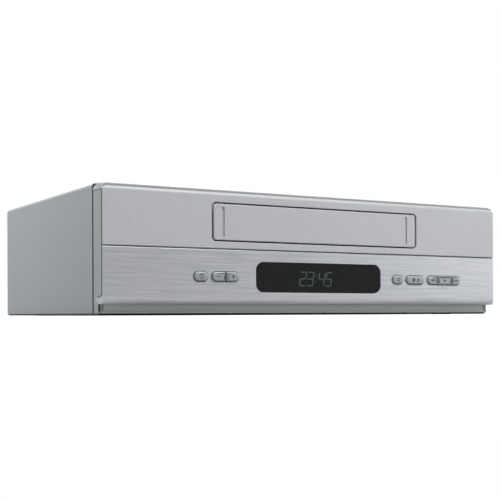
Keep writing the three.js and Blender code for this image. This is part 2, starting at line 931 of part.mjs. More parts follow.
function displayTube() {
  const width = displayWide - display.tubeSide * 2;
  const tall = displayTall - display.tubeMargin * 2;
  const back = board.setback - seat;
  const outline = roundedRectangle(width, tall, display.tubeEdge, 0, displayHeight);
  return panel(outline, back - display.tubeDepth, back);
}

// The keys of one cluster, cut from one crowned pill. Each has a lip above and below it and a stem behind.
function clusterKeys(cluster) {
  const { width, middle } = clusterSpan(cluster);
  const capRear = webFront + seat;
  const crowned = new THREE.ExtrudeGeometry(roundedRectangle(width, button.height, button.height / 2), {
    depth: button.proud + capRear - button.edge * 2,
    bevelThickness: button.edge,
    bevelSize: button.edge,
    bevelOffset: -button.edge,
    bevelSegments: 1,
    curveSegments: arcSteps,
  });
  const pill = solidOf(crowned.rotateX(Math.PI / 2).translate(0, capRear - button.edge, 0));
  const stemRear = board.setback - board.switchDepth - board.plungerDepth - button.travel - seat;
  const tall = button.height / 2 + button.lip;
  let left = -width / 2;
  return cluster.keys.map(([name, keyWidth], index) => {
    const right = left + keyWidth;
    const x0 = index === 0 ? left : left + button.split / 2;
    const x1 = index === cluster.keys.length - 1 ? right : right - button.split / 2;
    const x = (x0 + x1) / 2;
    const inset = button.height / 2;
    const body = joined([
      pill.intersect(span(x0, x1, -overrun, overrun, -button.height, button.height)),
      span(x - inset / 2, x + inset / 2, webFront, webFront + button.lipThickness, -tall, tall),
      barY(button.stemRadius, x, 0, webFront, stemRear, finePinSides),
    ]);
    left = right;
    return piece(name, body.translate([-x, 0, 0]), "silverPaint", middle + x, 0, buttonHeight);
  });
}

// The board behind the front, with the display's and the buttons' parts soldered to it.
function frontBoard() {
  const front = board.setback;
  const rearFace = front + board.thickness;
  const left = -half * board.leftShare;
  const right = half * board.rightShare;
  const bodies = [span(left, right, front, rearFace, boardBottom, frontBoardTop)];
  clusters.forEach((cluster) => {
    let keyLeft = cluster.left;
    cluster.keys.forEach(([, keyWidth]) => {
      const x = keyLeft + keyWidth / 2;
      const reach = board.switchSize / 2;
      const caseFront = front - board.switchDepth;
      const plungerFront = caseFront - board.plungerDepth;
      bodies.push(
        span(x - reach, x + reach, caseFront, front + seat, buttonHeight - reach, buttonHeight + reach),
        barY(board.plungerRadius, x, buttonHeight, plungerFront, caseFront + seat, finePinSides),
      );
      keyLeft += keyWidth;
    });
  });
  return joined(bodies);
}

// Arch of the folded cover and of what fits inside it: a rectangle with its two top corners round.
function archOutline(halfWidth, bottom, top, bend) {
  const shape = new THREE.Shape();
  shape.moveTo(-halfWidth, bottom);
  shape.lineTo(halfWidth, bottom);
  shape.absarc(halfWidth - bend, top - bend, bend, 0, Math.PI / 2);
  shape.absarc(-halfWidth + bend, top - bend, bend, Math.PI / 2, Math.PI);
  shape.closePath();
  return shape;
}

const screwPlaces = [-coverHalf + screw.sideInset, 0, coverHalf - screw.sideInset];
const screwLevel = coverTop - shell.rearFlange / 2;

function screwHoles() {
  const radius = screw.shankRadius + running;
  const back = shell.depth + overrun;
  return screwPlaces.map((x) => barY(radius, x, screwLevel, panelFront - overrun, back, finePinSides));
}

function topCover() {
  const innerBend = shell.coverBend - sheet;
  const flangeFront = shell.depth - sheet;
  const arch = archOutline(coverHalf, caseBottom, coverTop, shell.coverBend);
  const body = panel(arch, shell.coverStart, shell.depth);
  const inside = archOutline(coverHalf - sheet, -overrun, coverTop - sheet, innerBend);
  const opening = archOutline(
    coverHalf - shell.rearFlange / 2,
    -overrun,
    coverTop - shell.rearFlange,
    shell.coverBend,
  );
  return cut(body, [
    panel(inside, -overrun, flangeFront),
    panel(opening, -overrun, shell.depth + overrun),
    ...screwHoles(),
  ]);
}

function coverScrew() {
  const bearing = shell.depth + seat;
  return joined([
    barY(screw.headRadius, 0, 0, bearing, bearing + screw.headHeight, finePinSides),
    barY(screw.shankRadius, 0, 0, bearing - screw.shankLength, bearing + seat, finePinSides),
  ]).subtract(
    span(
      -screw.slotLength / 2,
      screw.slotLength / 2,
      bearing + screw.headHeight - screw.slotDepth,
      shell.depth + overrun,
      -screw.slotWidth / 2,
      screw.slotWidth / 2,
    ),
  );
}

const padPlaces = [
  ["foot_front_left", -1, frame.plinthSetback + pad.frontInset],
  ["foot_front_right", 1, frame.plinthSetback + pad.frontInset],
  ["foot_rear_left", -1, panelRear - pad.rearInset],
  ["foot_rear_right", 1, panelRear - pad.rearInset],
].map(([name, side, y]) => ({ name, x: side * (coverHalf - pad.sideInset), y }));

const postPlaces = [
  [-1, deck.front + postInset],
  [1, deck.front + postInset],
  [-1, deckRear - postInset],
  [1, deckRear - postInset],
].map(([side, y]) => ({ x: side * (deckHalf - deck.edge - deck.postRadius), y }));

// Steel tray: a thin ledge with a rim all round, a floor with vents, side walls, posts for the deck.
function chassisTray() {
  const front = frame.plinthSetback;
  const floorFront = frame.rear + seat;
  const wallFront = frame.rear + frame.tongue + seat;
  const rimInner = coverHalf - tray.rimWidth;
  const bossX = mainBoardHalf - tray.bossRadius * 2;
  const bossYs = [mainBoardFront + tray.bossRadius * 2, mainBoardRear - tray.bossRadius * 2];
  const base = trayTop - seat;
  const pocketTop = pad.proud + pad.pocket;
  const ventFirst = powerX - (tray.ventPitch * (tray.ventCount - 1)) / 2;
  const vents = Array.from({ length: tray.ventCount }, (_, index) => {
    const x = ventFirst + tray.ventPitch * index;
    const y0 = power.front + power.finDepth;
    const outline = slotOutline(x, y0, x, y0 + tray.ventLength, tray.ventWidth / 2);
    return plate(outline, -overrun, trayTop + overrun);
  });
  const body = joined([
    span(-coverHalf, coverHalf, front, panelRear, tray.rim, tray.edge).subtract(
      span(-rimInner, rimInner, front + tray.rimWidth, panelRear - tray.rimWidth, -overrun, pad.proud),
    ),
    span(-innerHalf, innerHalf, floorFront, panelFront - seat, pad.proud, trayTop),
    spanBothSides(
      innerHalf - moulding,
      innerHalf,
      wallFront,
      panelFront - seat,
      base,
      trayTop + tray.wallHeight,
    ),
    ...postPlaces.map(({ x, y }) => barZ(deck.postRadius, x, y, base, deck.height - seat, finePinSides)),
    ...bossYs.flatMap((y) =>
      [-bossX, bossX].map((x) => barZ(tray.bossRadius, x, y, base, boardUnder - seat, finePinSides)),
    ),
  ]);
  return cut(body, [
    ...vents,
    ...padPlaces.map(({ x, y }) => barZ(pad.radius + seat * 2, x, y, -overrun, pocketTop, smallSides)),
  ]);
}

function foot() {
  return turned([
    [0, 0],
    [pad.radius - pad.pocket, 0],
    [pad.radius, pad.pocket],
    [pad.radius, pad.proud + pad.pocket - seat],
    [0, pad.proud + pad.pocket - seat],
  ], smallSides);
}

// Places of the sockets, seen from the front: mains at the left, aerial at the right.
const socketBase = boardTop + seat;
const tunerX = innerHalf - tuner.wallRoom - tuner.width / 2;
const scartRight = tunerX - tuner.width / 2 - scart.tunerGap - scart.width / 2;
const scartPlaces = [scartRight - scart.spacing, scartRight];
const scartLevel = socketBase + scart.height / 2;
const phonoX = scartPlaces[0] - scart.width / 2 - phono.scartGap - phono.blockWidth / 2;
const phonoPlaces = [phonoX - phono.spacing / 2, phonoX + phono.spacing / 2];
const phonoLevel = socketBase + phono.blockHeight / 2;
const tunerLevels = [-1, 1].map((side) => socketBase + tuner.height / 2 + (side * tuner.spacing) / 2);
const inletX = -(coverHalf - inlet.sideRoom);
const inletLevel = socketBase + inlet.height / 2;

// D-shaped outline with one slanted lower corner, drawn in from its outer edge.
function scartOutline(inset) {
  const right = scart.width / 2 - inset;
  const top = scart.height / 2 - inset;
  const slant = scart.slant - inset / 2;
  return polygon([
    [-right, top],
    [-right, -top / 2],
    [-right + slant, -top],
    [right, -top],
    [right, top],
  ]);
}

function scartSocket() {
  const front = panelFront - scart.inside;
  const back = panelRear + scart.proud;
  const channelFront = back - scart.channelDepth;
  const ring = panel(scartOutline(scart.channelMargin), channelFront, back + overrun).subtract(
    panel(scartOutline(scart.channelMargin + scart.channel), -overrun, back + overrun * 2),
  );
  const first = (-scart.contactPitch * (scart.contacts - 1)) / 2;
  const slots = [-1, 1].flatMap((row) =>
    Array.from({ length: scart.contacts }, (_, index) => {
      const x = first + scart.contactPitch * index + (row * scart.contactPitch) / 4;
      const z = row * scart.contactRow;
      const wide = scart.contactWidth / 2;
      const tall = scart.contactHeight / 2;
      return span(x - wide, x + wide, back - scart.contactDepth, back + overrun, z - tall, z + tall);
    }),
  );
  return cut(panel(scartOutline(0), front, back), [ring, ...slots]);
}

function phonoSockets() {
  const blockRear = panelFront - seat;
  const back = panelRear + phono.proud;
  const block = span(
    -phono.blockWidth / 2,
    phono.blockWidth / 2,
    blockRear - phono.blockDepth,
    blockRear,
    -phono.blockHeight / 2,
    phono.blockHeight / 2,
  );
  const offsets = [-phono.spacing / 2, phono.spacing / 2];
  const barrels = offsets.map((x) => barY(phono.barrelRadius, x, 0, blockRear - seat, back, smallSides));
  const boreFloor = back - phono.boreDepth;
  const bores = offsets.map((x) => barY(phono.boreRadius, x, 0, boreFloor, back + overrun, finePinSides));
  return cut(joined([block, ...barrels]), bores);
}

// Screened tuner box with an aerial input, which has a sleeve in its middle, and an output, which has a pin.
function tunerModule() {
  const boxRear = panelFront - seat;
  const back = panelRear + tuner.proud;
  const wide = tuner.width / 2;
  const top = socketBase + tuner.height;
  const collarFront = panelRear + seat;
  const bodies = [span(-wide, wide, boxRear - tuner.depth, boxRear, socketBase, top)];
  tunerLevels.forEach((z, index) => {
    const floor = back - tuner.boreDepth;
    const barrel = barY(tuner.barrelRadius, 0, z, boxRear - seat, back, smallSides);
    const collarRear = collarFront + tuner.flangeThickness;
    const collar = barY(tuner.flangeRadius, 0, z, collarFront, collarRear, smallSides);
    const bore = barY(tuner.boreRadius, 0, z, floor, back + overrun, smallSides);
    const core = barY(index === 0 ? tuner.pinBore : tuner.pinRadius, 0, z, floor - seat, back, finePinSides);
    bodies.push(barrel.add(collar).subtract(bore).add(core));
  });
  const sleeveFloor = back - tuner.boreDepth / 2;
  const sleeve = barY(tuner.pinBore / 2, 0, tunerLevels[1], sleeveFloor, back + overrun, finePinSides);
  return joined(bodies).subtract(sleeve);
}

// Figure-of-eight mains inlet for a loose lead.
function inletOutline(width, height) {
  return slotOutline(-(width - height) / 2, 0, (width - height) / 2, 0, height / 2);
}

function mainsInlet() {
  const back = panelRear + inlet.proud;
  const wide = inlet.width / 2;
  const tall = inlet.height / 2;
  const body = joined([
    span(-wide, wide, back - inlet.bodyDepth, back, -tall, tall),
    span(-wide - inlet.flange, wide + inlet.flange, panelRear + seat, back, -tall, tall + inlet.flange),
  ]);
  const floor = back - inlet.recessDepth;
  const recess = panel(inletOutline(inlet.recessWidth, inlet.recessHeight), floor, back + overrun);
  const pins = [-inlet.pinSpacing / 2, inlet.pinSpacing / 2].map((x) =>
    barY(inlet.pinRadius, x, 0, floor - seat, floor + inlet.pinLength, finePinSides),
  );
  return joined([body.subtract(recess), ...pins]);
}

function rearPanel() {
  const top = coverTop - sheet - seat;
  const arch = archOutline(innerHalf, caseBottom, top, shell.coverBend - sheet);
  const body = panel(arch, panelFront, panelRear);
  const through = [panelFront - overrun, panelRear + overrun];
  const ventFirst = -(rear.ventPitch * (rear.ventCount - 1)) / 2 + powerX / 2;
  const ventBottom = inletLevel + inlet.height + rear.ventPitch;
  const vents = Array.from({ length: rear.ventCount }, (_, index) => {
    const x = ventFirst + rear.ventPitch * index;
    const outline = slotOutline(x, ventBottom, x, ventBottom + rear.ventLength, rear.ventWidth / 2);
    return panel(outline, ...through);
  });
  const inletHole = span(
    inletX - inlet.width / 2 - running,
    inletX + inlet.width / 2 + running,
    ...through,
    inletLevel - inlet.height / 2 - running,
    inletLevel + inlet.height / 2 + running,
  );
  return cut(body, [
    ...vents,
    inletHole,
    ...scartPlaces.map((x) => panel(scartOutline(-running), ...through).translate([x, 0, scartLevel])),
    ...phonoPlaces.map((x) => barY(phono.barrelRadius + running, x, phonoLevel, ...through, smallSides)),
    ...tunerLevels.map((z) => barY(tuner.barrelRadius + running, tunerX, z, ...through, smallSides)),
    ...screwHoles(),
  ]);
}

// Main board with chips and cans soldered on, and holes where the deck's posts pass.
function mainBoard() {
  const bodies = [span(-mainBoardHalf, mainBoardHalf, mainBoardFront, mainBoardRear, boardUnder, boardTop)];
  const chipY = pulleyY + deck.rearMargin;
  const root = boardTop - seat;
  const x0 = deckHalf + chip.margin;
  for (let index = 0; index < chip.count; index += 1) {
    const y = chipY + index * chip.spacing;
    bodies.push(span(x0, x0 + chip.width, y, y + chip.depth, root, boardTop + chip.height));
  }
  for (let index = 0; index < chip.canCount; index += 1) {
    const x = x0 + chip.width / 2;
    const y = chipY - chip.canSpacing * (index + 1);
    bodies.push(barZ(chip.canRadius, x, y, root, boardTop + chip.canHeight, finePinSides));
  }
  const holes = postPlaces.map(({ x, y }) => {
    return barZ(deck.postRadius + running, x, y, boardUnder - overrun, boardTop + overrun, finePinSides);
  });
  return cut(joined(bodies), holes);
}

// Finned heat sink, transformer and smoothing can of the power supply, one behind the other.
function heatSink() {
  const wide = powerRoom * power.finShare;
  const bodies = [span(-wide / 2, wide / 2, 0, power.backThickness, 0, power.finHeight)];
  const pitch = (wide - power.finThickness) / (power.finCount - 1);
  for (let index = 0; index < power.finCount; index += 1) {
    const x = -wide / 2 + pitch * index;
    bodies.push(span(x, x + power.finThickness, 0, power.finDepth, 0, power.finHeight));
  }
  return joined(bodies);
}

function transformer() {
  const wide = (powerRoom * power.coreShare) / 2;
  const side = (power.windingDepth - power.coreDepth) / 2;
  const core = span(-wide, wide, side, side + power.coreDepth, 0, power.coreHeight);
  const low = (power.coreHeight - power.windingHeight) / 2;
  const winding = roundedRectangle(wide * 2 * power.windingShare, power.windingDepth, side);
  return core.add(plate(winding, low, low + power.windingHeight).translate([0, power.windingDepth / 2, 0]));
}

function capacitor() {
  const groove = power.canGroove;
  const shoulder = power.canHeight * power.canGrooveShare;
  return turned([
    [0, 0],
    [power.canRadius, 0],
    [power.canRadius, shoulder],
    [power.canRadius - groove / 2, shoulder + groove / 2],
    [power.canRadius, shoulder + groove],
    [power.canRadius, power.canHeight - groove],
    [power.canRadius - groove, power.canHeight],
    [0, power.canHeight],
  ], smallSides);
}

// Outline of a belt round the capstan's pulley and the reel drive's, grown by the same amount on both.
function beltOutline(grow) {
  const big = pulley.radius + grow;
  const little = capstan.pulleyRadius + grow;
  const dx = capstanX;
  const dy = capstanY - pulleyY;
  const heading = Math.atan2(dy, dx);
  const lean = Math.acos((big - little) / Math.hypot(dx, dy));
  const shape = new THREE.Shape();
  shape.absarc(0, pulleyY, big, heading + lean, heading - lean + Math.PI * 2);
  shape.absarc(capstanX, capstanY, little, heading - lean, heading + lean);
  shape.closePath();
  return shape;
}

function driveBelt() {
  const top = deck.height - pulley.drop - (pulley.height - belt.width) / 2;
  const outer = plate(beltOutline(running + belt.thickness), top - belt.width, top, beltSteps);
  return outer.subtract(plate(beltOutline(running), -overrun, deckTop, beltSteps));
}

// Steel deck: a flange at front and rear, axles for the reels, cam gear and pinch arm, and guide slots.
function deckPlate() {
  const top = deckTop;
  const under = deck.height;
  const camAxleTop = top + running + gear.height + gear.hubHeight;
  const postTop = top + pinch.armLift + pinch.armThickness;
  const reelXs = [-reel.spacing / 2, reel.spacing / 2];
  const bodies = [
    span(-deckHalf, deckHalf, deck.front, deckRear, under, top),
    span(-deckHalf, deckHalf, deck.front, deck.front + deck.thickness, under - deck.flange, top),
    span(-deckHalf, deckHalf, deckRear - deck.thickness, deckRear, under - deck.flange, top),
    ...reelXs.map((x) => barZ(reel.axleRadius, x, reelY, under, reelAxleTop, finePinSides)),
    barZ(gear.axleRadius, camX, camY, under, camAxleTop, finePinSides),
    barZ(pinch.postRadius, pinchX, pinchY, under, postTop, finePinSides),
  ];
  const through = [under - overrun, top + overrun];
  const guideSlots = [-1, 1].map((side) => {
    const start = [side * guide.startX, drumY - guide.startAhead];
    const end = [side * guide.endX, drumY - guide.endAhead];
    return plate(slotOutline(...start, ...end, guide.keelRadius + running), ...through);
  });
  return cut(joined(bodies), [
    ...guideSlots,
    barZ(pulley.shaftRadius + running, 0, pulleyY, ...through, finePinSides),
    barZ(capstan.bearingRadius + seat, capstanX, capstanY, ...through),
    barZ(gear.shaftRadius + running, pinionX, pinionY, ...through, finePinSides),
  ]);
}

const reelAxleTop = deckTop + reel.rimHeight + reel.hubRise;

function reelTable() {
  const bore = reel.axleRadius + running;
  const hubTop = reel.rimHeight + reel.hubRise;
  const top = hubTop + reel.spindleRise;
  const spindleCore = reel.spindleRadius - reel.wingReach / 2;
  const body = turned([
    [0, hubTop],
    [bore, hubTop],
    [bore, 0],
    [reel.rimRadius, 0],
    [reel.rimRadius, reel.rimHeight],
    [reel.hubRadius, reel.rimHeight],
    [reel.hubRadius, hubTop],
    [spindleCore, hubTop],
    [spindleCore, top - reel.spindleTip],
    [spindleCore - reel.spindleTip / 2, top],
    [0, top],
  ]);
  const wings = Array.from({ length: reel.wings }, (_, index) => {
    const wing = span(
      reel.axleRadius,
      reel.spindleRadius + reel.wingReach / 2,
      -reel.wingWidth / 2,
      reel.wingWidth / 2,
      hubTop - seat,
      top - reel.spindleTip,
    );
    return wing.rotate([0, 0, (360 / reel.wings) * index]);
  });
  return joined([body, ...wings]);
}

// Idler: an arm that swings between the two reels, with the rubber-tyred wheel at its end.
const idlerReach = pulley.wheelRadius + idler.wheelRadius + running;
const idlerTop = idler.armLift + idler.armThickness;

function idlerArm() {
  const arm = plate(slotOutline(0, 0, 0, -idlerReach, idler.armWidth / 2), 0, idler.armThickness);
  const pinTop = idler.armThickness + running + idler.wheelHeight + seat;
  return arm
    .add(barZ(idler.pinRadius, 0, -idlerReach, 0, pinTop, finePinSides))
    .subtract(barZ(pulley.shaftRadius + running, 0, 0, -overrun, overrun, finePinSides));
}

function wheelWithBore(radius, bore, height) {
  return turned([
    [bore, 0],
    [radius, 0],
    [radius, height],
    [bore, height],
    [bore, 0],
  ]);
}

// Belt pulley under the deck, with its shaft and the drive wheel above.
function beltPulley() {
  const pulleyTop = deck.height - pulley.drop;
  const wheelBottom = deckTop + idlerTop + running;
  return joined([
    barZ(pulley.radius, 0, 0, pulleyTop - pulley.height, pulleyTop),
    barZ(pulley.shaftRadius, 0, 0, pulleyTop - seat, wheelBottom + seat, finePinSides),
    barZ(pulley.wheelRadius, 0, 0, wheelBottom, wheelBottom + idler.wheelHeight),
  ]);
}

// Capstan: shaft, belt pulley and the heavy flywheel, with a step in its rim.
function capstanBody() {
  const pulleyTop = deck.height - pulley.drop;
  const pulleyBottom = pulleyTop - pulley.height;
  const rimBottom = pulleyBottom - capstan.flywheelHeight;
  return turned([
    [0, rimBottom],
    [capstan.flywheelRadius, rimBottom],
    [capstan.flywheelRadius, pulleyBottom],
    [capstan.pulleyRadius, pulleyBottom],
    [capstan.pulleyRadius, pulleyTop],
    [capstan.shaftRadius, pulleyTop],
    [capstan.shaftRadius, deckTop + capstan.shaftTop],
    [0, deckTop + capstan.shaftTop],
  ]);
}

function capstanBearing() {
  const bore = capstan.shaftRadius + running;
  const flangeBottom = deckTop + seat;
  const flangeTop = flangeBottom + capstan.flangeHeight;
  const top = flangeTop + capstan.bearingHeight;
  const neck = (capstan.bearingRadius + bore) / 2;
  return turned([
    [bore, deck.height],
    [capstan.bearingRadius, deck.height],
    [capstan.bearingRadius, flangeBottom],
    [capstan.bearingFlange, flangeBottom],
    [capstan.bearingFlange, flangeTop],
    [capstan.bearingRadius, flangeTop],
    [neck, top],
    [bore, top],
    [bore, deck.height],
  ]);
}

// Pinch arm, drawn along +X from its pivot; the roller turns on the pin at its end.
function pinchArm() {
  const armTop = pinch.armLift + pinch.armThickness;
  const taper = plate(slotOutline(0, 0, pinch.armLength, 0, pinch.armWidth / 2), pinch.armLift, armTop);
  const pinTop = armTop + running + pinch.rollerHeight + seat;
  return joined([
    taper,
    barZ(pinch.bossRadius, 0, 0, running, armTop),
    barZ(pinch.pinRadius, pinch.armLength, 0, pinch.armLift, pinTop, finePinSides),
  ]).subtract(barZ(pinch.postRadius + running, 0, 0, -overrun, armTop + overrun, finePinSides));
}

// Tape guide: a block on the deck with a keel in its slot, a roller post and a cap.
function tapeGuide() {
  const top = guide.blockHeight + guide.postHeight;
  const keelBottom = -deck.thickness - running * 2;
  return turned([
    [0, keelBottom],
    [guide.keelRadius, keelBottom],
    [guide.keelRadius, 0],
    [guide.blockRadius, 0],
    [guide.blockRadius, guide.blockHeight],
    [guide.postRadius, guide.blockHeight],
    [guide.postRadius, top],
    [guide.capRadius, top],
    [guide.capRadius, top + guide.capHeight],
    [0, top + guide.capHeight],
  ], smallSides);
}

// A fixed head on its base plate, its face towards the tape, with the gap line cut in it.
function tapeHead(sizeShare) {
  const wide = (head.width * sizeShare) / 2;
  const deep = head.depth / 2;
  const tall = head.plate + head.height * sizeShare;
  const nose = new THREE.Shape();
  nose.moveTo(-wide, deep);
  nose.lineTo(-wide, -deep / 2);
  nose.quadraticCurveTo(0, -deep * head.crownShare, wide, -deep / 2);
  nose.lineTo(wide, deep);
  nose.closePath();
  const baseHalf = wide + head.plateMargin;
  const base = span(-baseHalf, baseHalf, -deep, deep + head.plateMargin, 0, head.plate);
  const slitHalf = head.gapWidth / 2;
  const slit = span(-slitHalf, slitHalf, -head.depth, slitHalf - deep, head.plate, tall + overrun);
  return base.add(plate(nose, head.plate / 2, tall)).subtract(slit);
}

// Spur gear outline: straight flanks within an involute, thinned by the backlash, with short teeth.
const addendumShare = 0.8;
const dedendumShare = 1.1;
const pressureAngle = THREE.MathUtils.degToRad(20);
function gearOutline(teeth) {
  const pitchRadius = (gear.module * teeth) / 2;
  const baseRadius = pitchRadius * Math.cos(pressureAngle);
  const tipRadius = pitchRadius + gear.module * addendumShare;
  const rootRadius = pitchRadius - gear.module * dedendumShare;
  const involute = (radius) => {
    const angle = Math.acos(Math.min(baseRadius / radius, 1));
    return Math.tan(angle) - angle;
  };
  const halfAtPitch = Math.PI / (2 * teeth) - gear.backlash / (2 * pitchRadius);
  const halfAt = (radius) => halfAtPitch + involute(pitchRadius) - involute(radius);
  const rootHalf = halfAt(Math.max(rootRadius, baseRadius));
  const points = [];
  for (let tooth = 0; tooth < teeth; tooth += 1) {
    const centre = (tooth * 2 * Math.PI) / teeth;
    const at = (radius, turn) => {
      const angle = centre + turn;
      points.push([radius * Math.cos(angle), radius * Math.sin(angle)]);
    };
    at(rootRadius, -rootHalf);
    at(tipRadius, -halfAt(tipRadius));
    at(tipRadius, halfAt(tipRadius));
    at(rootRadius, rootHalf);
  }
  return polygon(points);
}

const gearDistance = (gear.module * (gear.camTeeth + gear.pinionTeeth)) / 2 + gear.meshSlack;
const meshAngle = THREE.MathUtils.degToRad(gear.meshDegrees);
const pinionX = camX + gearDistance * Math.cos(meshAngle);
const pinionY = camY + gearDistance * Math.sin(meshAngle);

function camGear() {
  const bore = gear.axleRadius + running;
  const camRadius = (gear.module * gear.camTeeth) / 4;
  const camOffset = camRadius / 2;
  return joined([
    plate(gearOutline(gear.camTeeth), 0, gear.height),
    barZ(camRadius, camOffset, 0, gear.height - seat, gear.height + gear.hubHeight / 2),
    barZ(gear.hubRadius, 0, 0, gear.height - seat, gear.height + gear.hubHeight),
  ]).subtract(barZ(bore, 0, 0, -overrun, gear.height + gear.hubHeight + overrun, finePinSides));
}

// Motor pinion on its shaft, turned so that a gap between its teeth faces a tooth of the cam gear.
function motorPinion() {
  const shaftBottom = deck.height - deckTop - motor.collarHeight - motor.height / 2;
  const facing = gear.meshDegrees + 180;
  const camPitch = 360 / gear.camTeeth;
  const pinionPitch = 360 / gear.pinionTeeth;
  const camPhase = ((gear.meshDegrees % camPitch) / camPitch) * pinionPitch;
  const turn = facing + camPhase + pinionPitch / 2;
  const teeth = plate(gearOutline(gear.pinionTeeth), 0, gear.height).rotate([0, 0, turn]);
  return teeth.add(barZ(gear.shaftRadius, 0, 0, shaftBottom, gear.height + seat, finePinSides));
}

function loadingMotor() {
  const top = deck.height - seat;
  const canTop = top - motor.collarHeight;
  const bore = barZ(gear.shaftRadius + running, 0, 0, canTop - motor.height, top + overrun, finePinSides);
  const flat = motor.radius * motor.flatShare;
  const can = barZ(motor.radius, 0, 0, canTop - motor.height, canTop);
  const flats = spanBothSides(flat, motor.radius * 2, -motor.radius * 2, motor.radius * 2, 0, deckTop);
  return joined([can.subtract(flats), barZ(motor.collarRadius, 0, 0, canTop - seat, top)]).subtract(bore);
}

// The lower drum on its pedestal, tilted, with a ledge that the tape's edge runs on.
const drumTilt = THREE.MathUtils.degToRad(drum.tiltDegrees);
const drumFoot = deckTop + seat;
const pedestalTop = drumFoot + drum.pedestalHeight;

function drumBase() {
  const bore = drum.shaftRadius + running;
  const ledgeTop = drum.lowerHeight * drum.ledgeShare;
  const lower = turned([
    [0, 0],
    [drum.radius + drum.ledge, 0],
    [drum.radius + drum.ledge, ledgeTop],
    [drum.radius, ledgeTop],
    [drum.radius, drum.lowerHeight],
    [bore, drum.lowerHeight],
    [bore, drum.lowerHeight - drum.shaftLength - running],
    [0, drum.lowerHeight - drum.shaftLength - running],
  ]);
  const pedestal = barZ(drum.pedestalRadius, 0, 0, -drum.pedestalHeight, ledgeTop);
  return lower.rotate([0, drum.tiltDegrees, 0]).add(pedestal);
}

// The spinning upper drum, drawn about its own axis, with a shaft into the lower drum and two head windows.
function drumHead() {
  const edge = drum.edge;
  const top = drum.upperHeight;
  const body = turned([
    [0, -drum.shaftLength],
    [drum.shaftRadius, -drum.shaftLength],
    [drum.shaftRadius, 0],
    [drum.radius - edge, 0],
    [drum.radius, edge],
    [drum.radius, top - edge],
    [drum.radius - edge, top],
    [drum.hubRadius, top],
    [drum.hubRadius, top - drum.hubRecess],
    [0, top - drum.hubRecess],
  ]);
  const window = drum.window;
  return body.subtract(
    spanBothSides(drum.radius - window, drum.radius + overrun, -window / 2, window / 2, -overrun, window),
  );
}

// Sheet-steel cassette holder: sides with ledges, a top with a window, stops at the rear and guide pins.
function cassetteHolder() {
  const rearY = holder.length;
  const bottom = bayFloor - sheet;
  const top = bayTop + sheet;
  const windowHalfWidth = bayHalf - holder.windowMargin;
  const pins = [holder.pinInset, rearY - holder.pinInset].flatMap((y) => {
    const end = bracketOuter + holder.pinReach;
    const pin = barX(holder.pinRadius, y, pinLevel, bayHalf + seat, end, finePinSides);
    return [pin, pin.mirror([1, 0, 0])];
  });
  const body = joined([
    spanBothSides(bayHalf, holderHalf, 0, rearY, bottom, top),
    spanBothSides(bayHalf - holder.ledge, holderHalf, 0, rearY, bottom, bayFloor),
    span(-holderHalf, holderHalf, 0, rearY, bayTop, top),
    spanBothSides(bayHalf - holder.stop, holderHalf, rearY - sheet, rearY, bottom, top),
    ...pins,
  ]);
  const aside = holderHalf + seat;
  const relief = span(-aside, aside, -overrun, holder.reliefLength, bayTop - holder.reliefDepth, top + seat);
  const window = roundedRectangle(
    windowHalfWidth * 2,
    rearY - holder.windowMargin * 2,
    holder.windowMargin / 2,
    0,
    rearY / 2,
  );
  return cut(body, [relief, plate(window, bayTop - overrun, top + overrun)]);
}

// Side bracket with the two-legged slot that the holder's pins run in, for the machine's right side.
function holderBracket() {
  const groove = holder.pinRadius + running;
  const frontPin = holder.front + holder.pinInset;
  const rearPin = holderRear - holder.pinInset;
  const back = rearPin + holderTravel + groove + bracket.margin;
  const front = frontPin - groove - bracket.margin;
  const foot = deckTop + seat;
  const top = pinLevel + bracket.above;
  const legBottom = pinLevel - bracket.drop;
  const lightLevel = (foot + bracket.thickness + legBottom - groove) / 2;
  const slots = [
    slotOutline(frontPin, pinLevel, rearPin + holderTravel, pinLevel, groove),
    slotOutline(frontPin + holderTravel, pinLevel, frontPin + holderTravel, legBottom, groove),
    slotOutline(rearPin + holderTravel, pinLevel, rearPin + holderTravel, legBottom, groove),
    slotOutline(frontPin, lightLevel, rearPin, lightLevel, bracket.lightRadius),
  ];
  const body = joined([
    span(bracketInner, bracketOuter, front, back, foot, top),
    span(bracketInner, bracketOuter + bracket.foot, front, back, foot, foot + bracket.thickness),
  ]);
  return cut(body, slots.map((slot) => profile(slot, bracketInner - overrun, bracketOuter + overrun)));
}

// Assembly, in the bench frame.
function fascias() {
  const group = new THREE.Group();
  const springX = -flap.width / 2 + flap.armWidth + seat + spring.wire;
  group.add(
    piece("upper_fascia", upperFascia(), "silverPaint"),
    piece("lower_fascia", lowerFascia(), "brushedSilver"),
    piece("front_frame", frontFrame(), "greyPlastic"),
    piece("cassette_flap", cassetteFlap(), "silverPaint"),
    piece("flap_spring", flapSpring(), "steel", springX, flap.pinDepth, hingeHeight),
    piece("display_window", displayWindow(), "smokedPlastic"),
    piece("display_tube", displayTube(), "tubeGlass"),
    piece("front_board", frontBoard(), "boardGreen"),
  );
  clusters.forEach((cluster) => group.add(...clusterKeys(cluster)));
  return group;
}

function casework() {
  const group = new THREE.Group();
  group.add(
    piece("chassis_tray", chassisTray(), "steel"),
    piece("top_cover", topCover(), "coatedSteel"),
    piece("rear_panel", rearPanel(), "blackPlastic"),
    ...padPlaces.map(({ name, x, y }) => piece(name, foot(), "rubber", x, y, 0)),
    ...["left", "middle", "right"].map((side, index) =>
      piece(`cover_screw_${side}`, coverScrew(), "steel", screwPlaces[index], 0, screwLevel),
    ),
  );
  return group;
}

